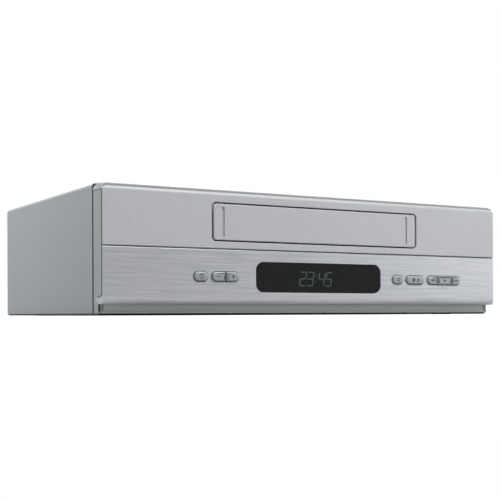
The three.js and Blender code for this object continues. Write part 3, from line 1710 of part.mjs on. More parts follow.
function electronics() {
  const group = new THREE.Group();
  const stand = boardTop + seat;
  const transformerY = power.front + power.finDepth + power.spacing;
  const capacitorY = transformerY + power.windingDepth + power.spacing + power.canRadius;
  group.add(
    piece("main_board", mainBoard(), "boardGreen"),
    piece("heat_sink", heatSink(), "steel", powerX, power.front, stand),
    piece("mains_transformer", transformer(), "copper", powerX, transformerY, stand),
    piece("smoothing_capacitor", capacitor(), "blackPlastic", powerX, capacitorY, stand),
    piece("mains_inlet", mainsInlet(), "blackPlastic", inletX, 0, inletLevel),
    piece("scart_socket_1", scartSocket(), "blackPlastic", scartPlaces[0], 0, scartLevel),
    piece("scart_socket_2", scartSocket(), "blackPlastic", scartPlaces[1], 0, scartLevel),
    piece("phono_sockets", phonoSockets(), "brightMetal", phonoX, 0, phonoLevel),
    piece("tuner_module", tunerModule(), "brightMetal", tunerX, 0, 0),
  );
  return group;
}

function tapeDeck() {
  const group = new THREE.Group();
  const stand = deckTop + seat;
  const wheelBottom = deckTop + idlerTop + running;
  const guideY = drumY - guide.startAhead;
  const leftBracket = holderBracket().mirror([1, 0, 0]);
  const arm = piece("pinch_arm", pinchArm(), "steel");
  const armTop = pinch.armLift + pinch.armThickness;
  const rollerBore = pinch.pinRadius + running;
  const roller = wheelWithBore(pinch.rollerRadius, rollerBore, pinch.rollerHeight);
  const armGroup = new THREE.Group();
  armGroup.position.set(pinchX, pinchY, deckTop);
  armGroup.rotation.z = THREE.MathUtils.degToRad(pinch.restDegrees);
  armGroup.add(arm, piece("pinch_roller", roller, "rubber", pinch.armLength, 0, armTop + running));
  const drumGroup = new THREE.Group();
  drumGroup.position.set(0, drumY, pedestalTop);
  drumGroup.rotation.y = drumTilt;
  drumGroup.add(piece("drum_head", drumHead(), "brightMetal", 0, 0, drum.lowerHeight + running));
  group.add(
    piece("deck_plate", deckPlate(), "steel"),
    piece("holder_bracket_left", leftBracket, "steel"),
    piece("holder_bracket_right", holderBracket(), "steel"),
    piece("cassette_holder", cassetteHolder(), "steel", 0, holder.front, 0),
    piece("drum_base", drumBase(), "brightMetal", 0, drumY, pedestalTop),
    drumGroup,
    piece("supply_reel", reelTable(), "whitePlastic", -reel.spacing / 2, reelY, deckTop + running),
    piece("takeup_reel", reelTable(), "whitePlastic", reel.spacing / 2, reelY, deckTop + running),
    piece("idler_arm", idlerArm(), "steel", 0, pulleyY, deckTop + idler.armLift),
    piece(
      "idler_wheel",
      wheelWithBore(idler.wheelRadius, idler.pinRadius + running, idler.wheelHeight),
      "rubber",
      0,
      pulleyY - idlerReach,
      wheelBottom,
    ),
    piece("belt_pulley", beltPulley(), "whitePlastic", 0, pulleyY, 0),
    piece("drive_belt", driveBelt(), "rubber"),
    piece("capstan_bearing", capstanBearing(), "brightMetal", capstanX, capstanY, 0),
    piece("capstan", capstanBody(), "brightMetal", capstanX, capstanY, 0),
    armGroup,
    piece("supply_guide", tapeGuide(), "brightMetal", -guide.startX, guideY, deckTop + running),
    piece("takeup_guide", tapeGuide(), "brightMetal", guide.startX, guideY, deckTop + running),
    piece("erase_head", tapeHead(head.eraseShare), "steel", -head.eraseX, drumY - head.eraseAhead, stand),
    piece("control_head", tapeHead(1), "brightMetal", head.controlX, drumY - head.controlAhead, stand),
    piece("cam_gear", camGear(), "whitePlastic", camX, camY, deckTop + running),
    piece("loading_motor", loadingMotor(), "steel", pinionX, pinionY, 0),
    piece("motor_pinion", motorPinion(), "whitePlastic", pinionX, pinionY, deckTop + running),
  );
  return group;
}

const machine = new THREE.Group();
machine.name = "video_cassette_recorder";
const bench = new THREE.Group();
bench.add(fascias(), casework(), electronics(), tapeDeck());
const rearmost = panelRear + Math.max(tuner.proud, phono.proud, scart.proud);
bench.position.set(0, (button.proud - rearmost) / 2, 0);
machine.add(bench);

export default machine;
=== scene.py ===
# Looks of a silver video cassette recorder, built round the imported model.
import json
import math

import bmesh
import bpy
import numpy as np
from mathutils.geometry import tessellate_polygon
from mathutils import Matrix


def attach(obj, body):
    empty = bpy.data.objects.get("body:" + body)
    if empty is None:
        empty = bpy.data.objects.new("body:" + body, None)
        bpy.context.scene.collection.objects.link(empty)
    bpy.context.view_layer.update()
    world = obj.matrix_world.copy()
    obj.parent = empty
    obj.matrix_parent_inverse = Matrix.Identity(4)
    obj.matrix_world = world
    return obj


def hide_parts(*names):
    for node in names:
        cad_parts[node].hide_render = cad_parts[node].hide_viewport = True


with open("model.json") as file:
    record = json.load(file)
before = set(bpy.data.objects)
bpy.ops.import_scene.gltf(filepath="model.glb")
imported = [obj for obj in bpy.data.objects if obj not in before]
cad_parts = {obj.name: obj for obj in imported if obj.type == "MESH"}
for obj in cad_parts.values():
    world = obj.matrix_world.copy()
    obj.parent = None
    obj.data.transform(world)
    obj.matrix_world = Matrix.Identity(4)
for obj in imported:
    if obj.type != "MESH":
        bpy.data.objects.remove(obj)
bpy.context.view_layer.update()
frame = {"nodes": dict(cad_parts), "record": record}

nodes = frame["nodes"]
benchDepth = 124.2  # mm from the fascia's face to the middle of the footprint


# Shapes, in millimetres, with the fascia's face at y = 0 and the floor at z = 0

def gridFaces(rows, columns):
    # Quads between neighbouring rows and columns of points; the last column is joined to the first.
    index = np.arange(rows * columns).reshape(rows, columns)
    index = np.concatenate([index, index[:, :1]], axis=1)
    return np.stack([index[:-1, :-1], index[1:, :-1], index[1:, 1:], index[:-1, 1:]], axis=-1)


def surface(grid):
    # Rows of points, with the quads between them.
    grid = np.array(grid, float)
    return grid.reshape(-1, 3), gridFaces(*grid.shape[:2]).reshape(-1, 4)


def arc(centre, radius, start, end, steps):
    # Points at equal angles round a centre: centre plus radius times (cosine, sine) of the angle.
    angle = np.radians(np.linspace(start, end, steps + 1))
    return np.stack([centre[0] + radius * np.cos(angle), centre[1] + radius * np.sin(angle)], 1)


def bend(start, control, end, steps):
    # Quadratic curve: (1-t)^2 of the start, 2t(1-t) of the control point and t^2 of the end.
    t = np.linspace(0, 1, steps + 1)[:, None]
    return (1 - t) ** 2 * np.array(start) + 2 * t * (1 - t) * np.array(control) + t ** 2 * np.array(end)


def sideways(points, turn):
    # Unit vectors at right angles to a run of points: (dz, -dy) over the step's length, or its opposite.
    run = np.gradient(points, axis=0)
    across = turn * np.column_stack([run[:, 1], -run[:, 0]])
    return across / np.linalg.norm(across, axis=1)[:, None]


def outline(x0, x1, z0, z1, left, right=None, steps=8):
    # Rectangle with round corners: each corner's centre plus its radius times the direction of an
    # angle that runs through a quarter turn. Gives the points and their outward normals.
    right = left if right is None else right
    angle = np.radians(np.linspace(0, 90, steps + 1)[None] + 90 * np.arange(4)[:, None])
    normals = np.stack([np.cos(angle), np.sin(angle)], -1)
    radii = np.array([right, left, left, right])[:, None, None]
    centres = np.array([
        [x1 - right, z1 - right],
        [x0 + left, z1 - left],
        [x0 + left, z0 + left],
        [x1 - right, z0 + right],
    ])
    points = centres[:, None] + radii * normals
    return points.reshape(-1, 2), normals.reshape(-1, 2)


def atDepth(points, depth):
    # Outline points (x, z) set into the plane y = depth.
    return np.stack([points[:, 0], np.full(len(points), float(depth)), points[:, 1]], 1)


def ring(loop, section):
    # A section of (offset, depth) pairs carried round an outline: each outline point moves along its
    # own normal by the offset, and lies at that depth.
    points, normals = loop
    section = np.array(section, float)
    flat = points[None] + normals[None] * section[:, 0, None, None]
    depth = np.broadcast_to(section[:, 1, None], flat.shape[:2])
    return surface(np.stack([flat[..., 0], depth, flat[..., 1]], -1))


def fill(*loops):
    # A flat face between an outer loop and any holes in it, cut into triangles.
    faces = tessellate_polygon([loop.tolist() for loop in loops])
    return np.concatenate(loops), np.array([list(face) for face in faces])


def moved(loop, offset):
    # Outline points pushed out along their normals by an offset.
    return loop[0] + loop[1] * offset


def roundEdge(edge, steps=3):
    # Quarter circle from a plate's side to its face: offset -edge(1 - cos t), depth edge(1 - sin t).
    t = np.radians(np.linspace(0, 90, steps + 1))
    return np.stack([-edge * (1 - np.cos(t)), edge * (1 - np.sin(t))], 1)


def slab(loop, front, back, edge, steps=3, holes=()):
    # Plate with a round front rim, and holes left open in its front face.
    return [
        ring(loop, np.concatenate([[[0, back]], roundEdge(edge, steps) + [0, front]])),
        fill(atDepth(moved(loop, -edge), front), *[atDepth(hole, front) for hole in holes]),
        fill(atDepth(loop[0], back)),
    ]


def holeRim(loop, edge, depth):
    # Wall of a hole that starts with the same quarter circle, turned over.
    return ring(loop, np.concatenate([roundEdge(edge)[::-1] * [-1, 1], [[0, depth]]]))


def plate(loops, front, back):
    # Thin plate: an outer loop and any holes in it, filled at two depths, with walls between them.
    parts = [fill(*[atDepth(loop, depth) for loop in loops]) for depth in (front, back)]
    return parts + [surface([atDepth(loop, front), atDepth(loop, back)]) for loop in loops]


def prism(profile, x0, x1):
    # A closed profile of (y, z) points carried straight along x, with its two ends filled.
    ends = [np.insert(np.array(profile, float), 0, x, axis=1) for x in (x0, x1)]
    return [surface(ends), fill(ends[0]), fill(ends[1])]


def lathe(profile, centre, axis="z", turns=48, tilt=0.0):
    # Surface of revolution: a (radius, height) point at angle a lies at (radius cos a, radius sin a, height).
    # The axis is then laid along x or y if asked, tilted about y, and carried to its centre.
    profile = np.array(profile, float)
    angle = np.linspace(0, 2 * np.pi, turns, endpoint=False)
    x = profile[:, 0, None] * np.cos(angle)
    y = profile[:, 0, None] * np.sin(angle)
    z = np.broadcast_to(profile[:, 1, None], x.shape)
    points, faces = surface(np.stack({"x": (z, x, y), "y": (x, z, -y), "z": (x, y, z)}[axis], -1))
    return carried(points, centre, tilt), faces


def carried(points, centre, tilt=0.0):
    # Points tilted about y by an angle, as x cos t + z sin t and z cos t - x sin t, then moved to a centre.
    t = math.radians(tilt)
    x, y, z = points.T
    tilted = np.stack([x * math.cos(t) + z * math.sin(t), y, z * math.cos(t) - x * math.sin(t)], 1)
    return tilted + np.array(centre, float)


def spun(parts, degrees):
    # The parts turned about z: x cos a - y sin a and x sin a + y cos a.
    a = math.radians(degrees)
    matrix = np.array([[math.cos(a), math.sin(a), 0], [-math.sin(a), math.cos(a), 0], [0, 0, 1]])
    return [(points @ matrix, faces) for points, faces in parts]


def box(x0, x1, y0, y1, z0, z1):
    # A block between two planes on each axis.
    return prism([(y0, z0), (y1, z0), (y1, z1), (y0, z1)], x0, x1)


def mirrored(parts):
    # The same parts on the other side: x changes its sign.
    return [(points * [-1, 1, 1], faces) for points, faces in parts]


def joinedMesh(name, groups, origin=(0, 0, 0), unit=1):
    # Joins lists of (points, faces) into one mesh, one list for each material. Points closer than
    # 0.002 mm are merged, and the faces are turned outwards.
    parts = [part for group in groups.values() for part in group]
    starts = np.cumsum([0] + [len(points) for points, _ in parts[:-1]])
    points = (np.concatenate([points for points, _ in parts]) - origin) / unit
    faces = [face for start, (_, part) in zip(starts, parts) for face in (part + start).tolist()]
    mesh = bpy.data.meshes.new(name)
    mesh.from_pydata(points.tolist(), [], faces)
    for key in groups:
        if key:
            mesh.materials.append(materials[key])
    which = [number for number, group in enumerate(groups.values()) for _, part in group for _ in part]
    mesh.polygons.foreach_set("material_index", which)
    work = bmesh.new()
    work.from_mesh(mesh)
    bmesh.ops.remove_doubles(work, verts=work.verts, dist=2e-3 / unit)
    bmesh.ops.dissolve_degenerate(work, edges=work.edges, dist=1e-3 / unit)
    bmesh.ops.recalc_face_normals(work, faces=work.faces)
    work.to_mesh(mesh)
    work.free()
    return mesh


def cutAway(stock, tools):
    # The stock solid less the tool solids, as one set of points and triangles.
    pair = []
    for name, parts in (("stock", stock), ("tool", tools)):
        pair.append(bpy.data.objects.new(name, joinedMesh(name, {None: parts})))
        bpy.context.scene.collection.objects.link(pair[-1])
    cutter = pair[0].modifiers.new("cut", "BOOLEAN")
    cutter.operation = "DIFFERENCE"
    cutter.solver = "EXACT"
    cutter.object = pair[1]
    result = pair[0].evaluated_get(bpy.context.evaluated_depsgraph_get()).to_mesh()
    result.calc_loop_triangles()
    points = np.empty(len(result.vertices) * 3)
    result.vertices.foreach_get("co", points)
    faces = np.empty(len(result.loop_triangles) * 3, int)
    result.loop_triangles.foreach_get("vertices", faces)
    for item in pair:
        mesh = item.data
        bpy.data.objects.remove(item)
        bpy.data.meshes.remove(mesh)
    return points.reshape(-1, 3), faces.reshape(-1, 3)


def makePiece(name, groups, body, replaced=(), slotName=None, sharp=32):
    # A finished piece that rides on its body. slotName is not used.
    mesh = joinedMesh(name, groups, (0, benchDepth, 0), 1000)
    mesh.shade_smooth()
    mesh.set_sharp_from_angle(angle=math.radians(sharp))
    piece = bpy.data.objects.new(name, mesh)
    bpy.context.scene.collection.objects.link(piece)
    flatten = piece.modifiers.new("even light on flat faces", "WEIGHTED_NORMAL")
    flatten.keep_sharp = True
    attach(piece, body)
    slotName or next(iter(groups))
    if replaced:
        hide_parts(*replaced)


def standing(name):
    # Middle of a CAD node in x and y, and its lowest level, in bench millimetres.
    mesh = nodes[name].data
    points = np.empty(len(mesh.vertices) * 3)
    mesh.vertices.foreach_get("co", points)
    points = points.reshape(-1, 3) * 1000 + [0, benchDepth, 0]
    low, high = points.min(0), points.max(0)
    return (low[0] + high[0]) / 2, (low[1] + high[1]) / 2, low[2]


# Materials

def linear(hexColour):
    # sRGB hex to linear light: the low part is divided by 12.92, the rest is a power of 2.4.
    value = hexColour.lstrip("#")
    channels = [int(value[i:i + 2], 16) / 255 for i in (0, 2, 4)]
    return [c / 12.92 if c <= 0.04045 else ((c + 0.055) / 1.055) ** 2.4 for c in channels] + [1.0]


def addNode(tree, kind, settings=None, links=None):
    # Settings are inputs or properties. A link comes from a socket, or from the first output of a node.
    node = tree.nodes.new("ShaderNode" + kind)
    for key, value in (settings or {}).items():
        if isinstance(key, int) or key in node.inputs:
            node.inputs[key].default_value = value
        else:
            setattr(node, key, value)
    for key, source in (links or {}).items():
        socket = source if isinstance(source, bpy.types.NodeSocket) else source.outputs[0]
        tree.links.new(socket, node.inputs[key])
    return node


def startMaterial(name):
    # An empty tree, and the Object coordinates that its patterns are drawn on.
    material = bpy.data.materials.new(name)
    material.use_nodes = True
    tree = material.node_tree
    tree.nodes.clear()
    return material, tree, addNode(tree, "TexCoord").outputs["Object"]


def makeMaterial(name, finish):
    # Pattern on Object coordinates: grain is its cell in mm, and stretch shortens or lengthens it along
    # each axis. It moves the colour between two tones, the roughness, and a relief in mm.
    material, tree, place = startMaterial(name)
    scaled = addNode(tree, "Mapping", {"Scale": finish.get("stretch", (1, 1, 1))}, {"Vector": place})
    perMetre = 1000 / finish["grain"]
    if finish.get("pattern") == "flakes":
        flakes = addNode(tree, "TexVoronoi", {"Scale": perMetre}, {"Vector": scaled})
        level = addNode(tree, "SeparateColor", {}, {"Color": flakes.outputs["Color"]})
    else:
        level = addNode(tree, "TexNoise", {"Scale": perMetre, "Detail": 3.0, "Roughness": 0.6}, {
            "Vector": scaled,
        })
    cloud = addNode(tree, "TexNoise", {"Scale": 1000 / finish.get("patches", 60), "Detail": 2.0}, {
        "Vector": place,
    })
    softened = addNode(tree, "Math", {"operation": "MULTIPLY", 1: 0.25}, {0: cloud})
    mixed = addNode(tree, "Math", {"operation": "MULTIPLY_ADD", 1: 0.75}, {0: level, 2: softened})
    colour = addNode(tree, "Mix", {
        "data_type": "RGBA", 6: linear(finish["tones"][0]), 7: linear(finish["tones"][1]),
    }, {0: mixed})
    roughness = addNode(tree, "MapRange", {
        "To Min": finish["roughness"][0], "To Max": finish["roughness"][1],
    }, {"Value": level})
    relief = addNode(tree, "Bump", {
        "Strength": finish.get("strength", 0.5), "Distance": finish.get("relief", 0.02) / 1000,
    }, {"Height": level})
    shader = addNode(tree, "BsdfPrincipled", {
        "Metallic": finish.get("metallic", 0.0), **finish.get("sockets", {}),
    }, {"Base Color": colour.outputs[2], "Roughness": roughness, "Normal": relief})
    addNode(tree, "OutputMaterial", {}, {"Surface": shader})
    return material


# Metallic lacquer sprayed on ABS: fine bright flakes under a satin coat. Flakes are drawn 0.35 mm wide
# where real ones are a tenth of that, which would not show.
lacquer = {
    "pattern": "flakes", "grain": 0.35, "patches": 90, "roughness": (0.42, 0.54), "metallic": 0.12,
    "relief": 0.004, "strength": 0.3, "sockets": {"Specular IOR Level": 0.08},
}
finishes = {
    "silver_paint": ("silver lacquer on ABS", {**lacquer, "tones": ("#aeb0b3", "#c4c5c8")}),
    # The same lacquer in a paler tone, as painted light: the plinth faces the floor's light and is drawn
    # brighter than its shade under the chin gives.
    "pale_painted_light": ("silver lacquer brightened as painted light", {**lacquer, "tones": ("#c8cecc", "#dbe0de")}),
    # The keys' coat is thinner and polished by fingers: a clearer highlight on each round edge.
    "key_silver": ("silver lacquer on moulded keys", {
        **lacquer, "tones": ("#909396", "#a4a7a9"), "grain": 0.3, "patches": 30, "roughness": (0.3, 0.4),
        "metallic": 0.2, "sockets": {"Specular IOR Level": 0.4},
    }),
    # Grained ABS as moulded: the tool's fine spark finish, soft highlights.
    "frame_plastic": ("grey ABS with a spark finish", {
        "tones": ("#a2a6a7", "#afb3b4"), "grain": 0.5, "roughness": (0.5, 0.62), "relief": 0.03,
        "sockets": {"Specular IOR Level": 0.3},
    }),
    # Steel sheet with a baked grey coat: a fine even orange peel.
    "coated_steel": ("powder coated steel", {
        "tones": ("#9ca1a4", "#aaafb2"), "grain": 0.7, "patches": 120, "roughness": (0.45, 0.58),
        "relief": 0.03, "strength": 0.6, "sockets": {"Specular IOR Level": 0.25},
    }),
    # Steel sheet dipped in black electrocoat: even and satin. Its black is also painted shade, standing in
    # for the dark gap over the floor.
    "zinc_plate": ("black electrocoated steel and painted shade", {
        "tones": ("#1d1e20", "#2a2b2d"), "grain": 0.9, "roughness": (0.4, 0.55), "relief": 0.01,
        "sockets": {"Specular IOR Level": 0.3},
    }),
    # Sheet rolled one way and zinc plated: bright grey with long faint rolling lines.
    "deck_steel": ("zinc plated deck steel", {
        "tones": ("#a6aaac", "#b8bcbd"), "grain": 1.2, "stretch": (0.15, 1, 1), "roughness": (0.3, 0.45),
        "metallic": 0.9, "relief": 0.004,
    }),
    # Pressed against a grained tool: small pebbles that break up the highlights.
    "rear_plastic": ("black polystyrene with a leather grain", {
        "tones": ("#1b1b1d", "#29292b"), "grain": 0.9, "roughness": (0.48, 0.66), "relief": 0.06,
        "strength": 0.7,
    }),
    # Moulded pads: dull black with a finely pitted face. The same black on the strips round the front stands
    # in for shade there, as painted shade.
    "pad_rubber": ("black rubber and painted shade", {
        "tones": ("#161616", "#232323"), "grain": 0.6, "roughness": (0.75, 0.9), "relief": 0.03,
    }),
    # Cold headed, then zinc plated: small bright highlights, slightly uneven.
    "screw_steel": ("zinc plated screw steel", {
        "tones": ("#a0a3a6", "#c2c4c6"), "grain": 0.5, "roughness": (0.25, 0.4), "metallic": 0.95,
        "relief": 0.01,
    }),
    # Extruded and left bare: fine die lines up the fins.
    "heat_sink": ("extruded aluminium", {
        "tones": ("#b4b6b8", "#c8cacb"), "grain": 0.8, "stretch": (1, 1, 0.05), "roughness": (0.35, 0.5),
        "metallic": 0.95, "relief": 0.01,
    }),
    # Varnished core plates: dark iron that shines where the varnish is thick.
    "transformer_iron": ("varnished transformer iron", {
        "tones": ("#3a2f26", "#6d4a2c"), "grain": 0.6, "stretch": (0.1, 0.1, 1), "roughness": (0.3, 0.55),
        "metallic": 0.2, "relief": 0.05,
    }),
    # Shrunk by heat round the can: smooth, glossy, nearly black.
    "can_sleeve": ("shrunk PVC sleeve", {
        "tones": ("#10131b", "#1c212d"), "grain": 2.0, "roughness": (0.2, 0.35), "relief": 0.01,
    }),
    # Nylon as moulded: an even satin black.
    "socket_black": ("black nylon", {
        "tones": ("#151516", "#222224"), "grain": 0.5, "roughness": (0.42, 0.58), "relief": 0.02,
    }),
    # Bright plating over pressed steel: a warm grey that nearly mirrors.
    "nickel": ("nickel plate", {
        "tones": ("#b9b6ae", "#cfccc4"), "grain": 1.5, "roughness": (0.14, 0.28), "metallic": 1.0,
        "relief": 0.003,
    }),
    # Cast and then diamond turned: fine rings of light round the drum.
    "drum_aluminium": ("turned aluminium", {
        "tones": ("#c3c5c7", "#d6d8da"), "grain": 0.35, "stretch": (0.1, 0.1, 1), "roughness": (0.12, 0.26),
        "metallic": 1.0, "relief": 0.002,
    }),
    # Acetal as moulded: a creamy white with a waxy sheen.
    "reel_plastic": ("white acetal", {
        "tones": ("#d2cfc4", "#dedbd1"), "grain": 1.0, "roughness": (0.35, 0.5), "relief": 0.008,
    }),
    # Ground to size: dull black with a fine nap.
    "tyre_rubber": ("ground nitrile rubber", {
        "tones": ("#141414", "#242424"), "grain": 0.4, "roughness": (0.65, 0.85), "relief": 0.02,
    }),
    # Turned on a lathe: fine rings round the bush.
    "bearing_brass": ("turned brass", {
        "tones": ("#b08d4a", "#cbab68"), "grain": 0.4, "stretch": (0.2, 0.2, 1), "roughness": (0.22, 0.38),
        "metallic": 1.0, "relief": 0.004,
    }),
    # Ground and polished: one sharp highlight along each shaft.
    "polished_steel": ("polished steel", {
        "tones": ("#bfc1c4", "#d0d2d4"), "grain": 1.0, "roughness": (0.1, 0.2), "metallic": 1.0,
        "relief": 0.001,
    }),
    # Lapped where the tape runs: fine upright lines on a soft grey metal.
    "head_metal": ("lapped permalloy", {
        "tones": ("#9c9a94", "#b5b3ac"), "grain": 0.3, "stretch": (1, 1, 0.1), "roughness": (0.2, 0.34),
        "metallic": 0.95, "relief": 0.003,
    }),
    # Unfilled nylon lets a little light in: cream, and soft at its edges.
    "gear_plastic": ("natural nylon", {
        "tones": ("#d8d3bf", "#e4e0cf"), "grain": 1.2, "roughness": (0.38, 0.52), "relief": 0.008,
        "sockets": {"Subsurface Weight": 0.1, "Subsurface Radius": (0.002, 0.0015, 0.001)},
    }),
    # Drawn steel with a plated skin: a slightly cloudy yellow grey.
    "motor_can": ("plated motor can", {
        "tones": ("#a8a69c", "#bfbdb3"), "grain": 0.7, "roughness": (0.24, 0.38), "metallic": 0.95,
        "relief": 0.004,
    }),
    # The same ABS toned darker where the frame laps over the front: the dark line along the top is painted
    # shade.
    "rim_painted_shade": ("spark finish ABS darkened as painted shade", {
        "tones": ("#8f9294", "#9c9fa0"), "grain": 0.5, "roughness": (0.5, 0.62), "relief": 0.02,
        "sockets": {"Specular IOR Level": 0.3},
    }),
    # Moulded nylon dyed through: an even colour with a satin gloss.
    "white_insulator": ("white nylon", {
        "tones": ("#d6d5d0", "#e2e1dc"), "grain": 0.8, "roughness": (0.35, 0.45), "relief": 0.008,
    }),
    "red_insulator": ("red nylon", {
        "tones": ("#9c211d", "#ae2a24"), "grain": 0.8, "roughness": (0.35, 0.45), "relief": 0.008,
    }),
    # Printed through a screen: flat and dull beside the lacquer.
    "symbol_ink": ("screen printed grey ink", {
        "tones": ("#2f3033", "#3c3d41"), "grain": 0.3, "roughness": (0.5, 0.6), "relief": 0.005,
    }),
}
print("making materials")
materials = {key: makeMaterial(name, finish) for key, (name, finish) in finishes.items()}


def brushedFilm():
    # Aluminium foil brushed along the front and laminated to ABS: long fine scratches that spread the
    # light upwards and downwards, and faint blue-grey streaks. The scratches are drawn 0.4 mm apart.
    material, tree, place = startMaterial("brushed aluminium film")
    scratchSpace = addNode(tree, "Mapping", {"Scale": (0.006, 1, 1)}, {"Vector": place})
    streakSpace = addNode(tree, "Mapping", {"Scale": (0.03, 1, 1)}, {"Vector": place})
    scratches = addNode(tree, "TexNoise", {"Scale": 2500, "Detail": 4.0, "Roughness": 0.7}, {
        "Vector": scratchSpace,
    })
    streaks = addNode(tree, "TexNoise", {"Scale": 700, "Detail": 3.0, "Roughness": 0.55}, {
        "Vector": streakSpace,
    })
    share = addNode(tree, "Math", {"operation": "MULTIPLY", 1: 0.55}, {0: streaks})
    both = addNode(tree, "Math", {"operation": "MULTIPLY_ADD", 1: 0.45}, {0: scratches, 2: share})
    tones = addNode(tree, "ValToRGB", {}, {"Fac": both})
    for stop, position, tone in zip(tones.color_ramp.elements, (0.34, 0.66), ("#a1a4ab", "#c0c1c4")):
        stop.position = position
        stop.color = linear(tone)
    roughness = addNode(tree, "MapRange", {"To Min": 0.3, "To Max": 0.46}, {"Value": scratches})
    relief = addNode(tree, "Bump", {"Strength": 0.35, "Distance": 0.00001}, {"Height": scratches})
    shader = addNode(tree, "BsdfPrincipled", {
        "Metallic": 0.6, "Specular IOR Level": 0.3, "Anisotropic": 0.4,
    }, {"Base Color": tones, "Roughness": roughness, "Normal": relief})
    addNode(tree, "OutputMaterial", {}, {"Surface": shader})
    return material


def smokedAcrylic():
    # Polished acrylic dyed nearly black: it shows a glow behind it, and little else.
    material, tree, place = startMaterial("smoked acrylic")
    haze = addNode(tree, "TexNoise", {"Scale": 90.0, "Detail": 2.0}, {"Vector": place})
    roughness = addNode(tree, "MapRange", {"To Min": 0.03, "To Max": 0.07}, {"Value": haze})
    tint = addNode(tree, "Mix", {"data_type": "RGBA", 6: linear("#47494a"), 7: linear("#4c4e4f")}, {0: haze})
    shader = addNode(tree, "BsdfPrincipled", {
        "IOR": 1.49, "Transmission Weight": 0.93, "Specular IOR Level": 0.22,
    }, {"Base Color": tint.outputs[2], "Roughness": roughness})
    addNode(tree, "OutputMaterial", {}, {"Surface": shader})
    return material


def tubeGlass():
    # Fluorescent display: dark glass with the control grid's fine mesh just behind it.
    material, tree, place = startMaterial("fluorescent display glass")
    cells = addNode(tree, "TexVoronoi", {"Scale": 1600, "feature": "DISTANCE_TO_EDGE"}, {"Vector": place})
    wires = addNode(tree, "MapRange", {"From Max": 0.12, "To Min": 1.0, "To Max": 0.0}, {
        "Value": cells.outputs["Distance"],
    })
    tint = addNode(tree, "Mix", {"data_type": "RGBA", 6: linear("#101413"), 7: linear("#1d2423")}, {0: wires})
    roughness = addNode(tree, "MapRange", {"To Min": 0.1, "To Max": 0.3}, {"Value": wires})
    shader = addNode(tree, "BsdfPrincipled", {"IOR": 1.5, "Specular IOR Level": 0.3}, {
        "Base Color": tint.outputs[2], "Roughness": roughness,
    })
    addNode(tree, "OutputMaterial", {}, {"Surface": shader})
    return material


def phosphor():
    # Pale green fluorescent powder fired on the anode: an even glow, a little weaker in its fine grain.
    material, tree, place = startMaterial("green phosphor")
    grains = addNode(tree, "TexNoise", {"Scale": 2500, "Detail": 2.0}, {"Vector": place})
    glow = addNode(tree, "Mix", {
        "data_type": "RGBA", 6: linear("#86a28b"), 7: linear("#9ab89f"),
    }, {0: grains})
    shader = addNode(tree, "BsdfPrincipled", {"Roughness": 0.6, "Emission Strength": 3.2}, {
        "Base Color": glow.outputs[2], "Emission Color": glow.outputs[2],
    })
    addNode(tree, "OutputMaterial", {}, {"Surface": shader})
    return material


def circuitBoard():
    # Glass epoxy board under green solder resist: copper tracks show as paler, slightly raised lines.
    material, tree, place = startMaterial("green solder resist")
    tracks = addNode(tree, "TexBrick", {
        "Scale": 90, "Mortar Size": 0.05, "Mortar Smooth": 0.2, "Bias": 0.1, "Brick Width": 1.7,
        "Row Height": 0.25,
    }, {"Vector": place}).outputs["Fac"]
    mottle = addNode(tree, "TexNoise", {"Scale": 120}, {"Vector": place})
    green = addNode(tree, "Mix", {
        "data_type": "RGBA", 6: linear("#17452a"), 7: linear("#205634"),
    }, {0: mottle})
    tint = addNode(tree, "Mix", {"data_type": "RGBA", 7: linear("#3f7d4c")}, {0: tracks, 6: green.outputs[2]})
    relief = addNode(tree, "Bump", {"Strength": 0.4, "Distance": 0.00004}, {"Height": tracks})
    roughness = addNode(tree, "MapRange", {"To Min": 0.25, "To Max": 0.42}, {"Value": mottle})
    shader = addNode(tree, "BsdfPrincipled", {"IOR": 1.5}, {
        "Base Color": tint.outputs[2], "Roughness": roughness, "Normal": relief,
    })
    addNode(tree, "OutputMaterial", {}, {"Surface": shader})
    return material


materials["brushed_film"] = brushedFilm()
materials["smoked_window"] = smokedAcrylic()
materials["tube_glass"] = tubeGlass()
materials["green_phosphor"] = phosphor()
materials["circuit_board"] = circuitBoard()

# Every CAD node takes the material of its slot in the record; pieces below replace those that show most.
for row in frame["record"]["subparts"]:
    node = nodes[row["node"]]
    node.data.materials.clear()
    node.data.materials.append(materials[row["material_slot"]])


# The two skins of the front

print("making the front")
skinShape = {
    "half": 190.0, "capInner": 186.2, "wall": 2.4, "room": 0.2, "endWall": 0.7, "endRoom": 0.4,
    "edge": 0.4, "edgeSteps": 3, "endEdge": 0.3, "seam": (50.6, 51.6), "rear": 18.4, "cornerRound": 4.8,
    "top": 97.3, "noseStart": 92.4, "noseControl": (0.3, 96.1), "noseTurn": 9.1, "noseEnd": 16.0,
    "chinStart": 13.2, "chinControl": (0.05, 9.7), "chinTurn": (2.0, 8.5), "chinBottom": 8.4,
    "chinLow": 9.3, "chinLedge": 9.7, "chinRear": 13.0, "capTop": 93.6, "capNose": 90.6,
    "capChin": 15.5, "capBottom": 13.4, "capTurn": 9.6, "opening": (-100.4, 100.4, 56.9, 87.1, 3.7),
}


def endDrop(points):
    # Near each end the top comes down a quarter circle of radius r: at a distance d from the end, the height
    # above (top - r) is multiplied by the square root of 1 - (1 - d/r)^2.
    s = skinShape
    radius = s["cornerRound"]
    near = np.clip((s["half"] - np.abs(points[..., 0])) / radius, 0.0, 1.0)
    share = np.sqrt(1 - (1 - near) ** 2)
    level = s["top"] - radius
    result = points.copy()
    above = points[..., 2] > level
    result[..., 2] = np.where(above, level + (points[..., 2] - level) * share, points[..., 2])
    return result


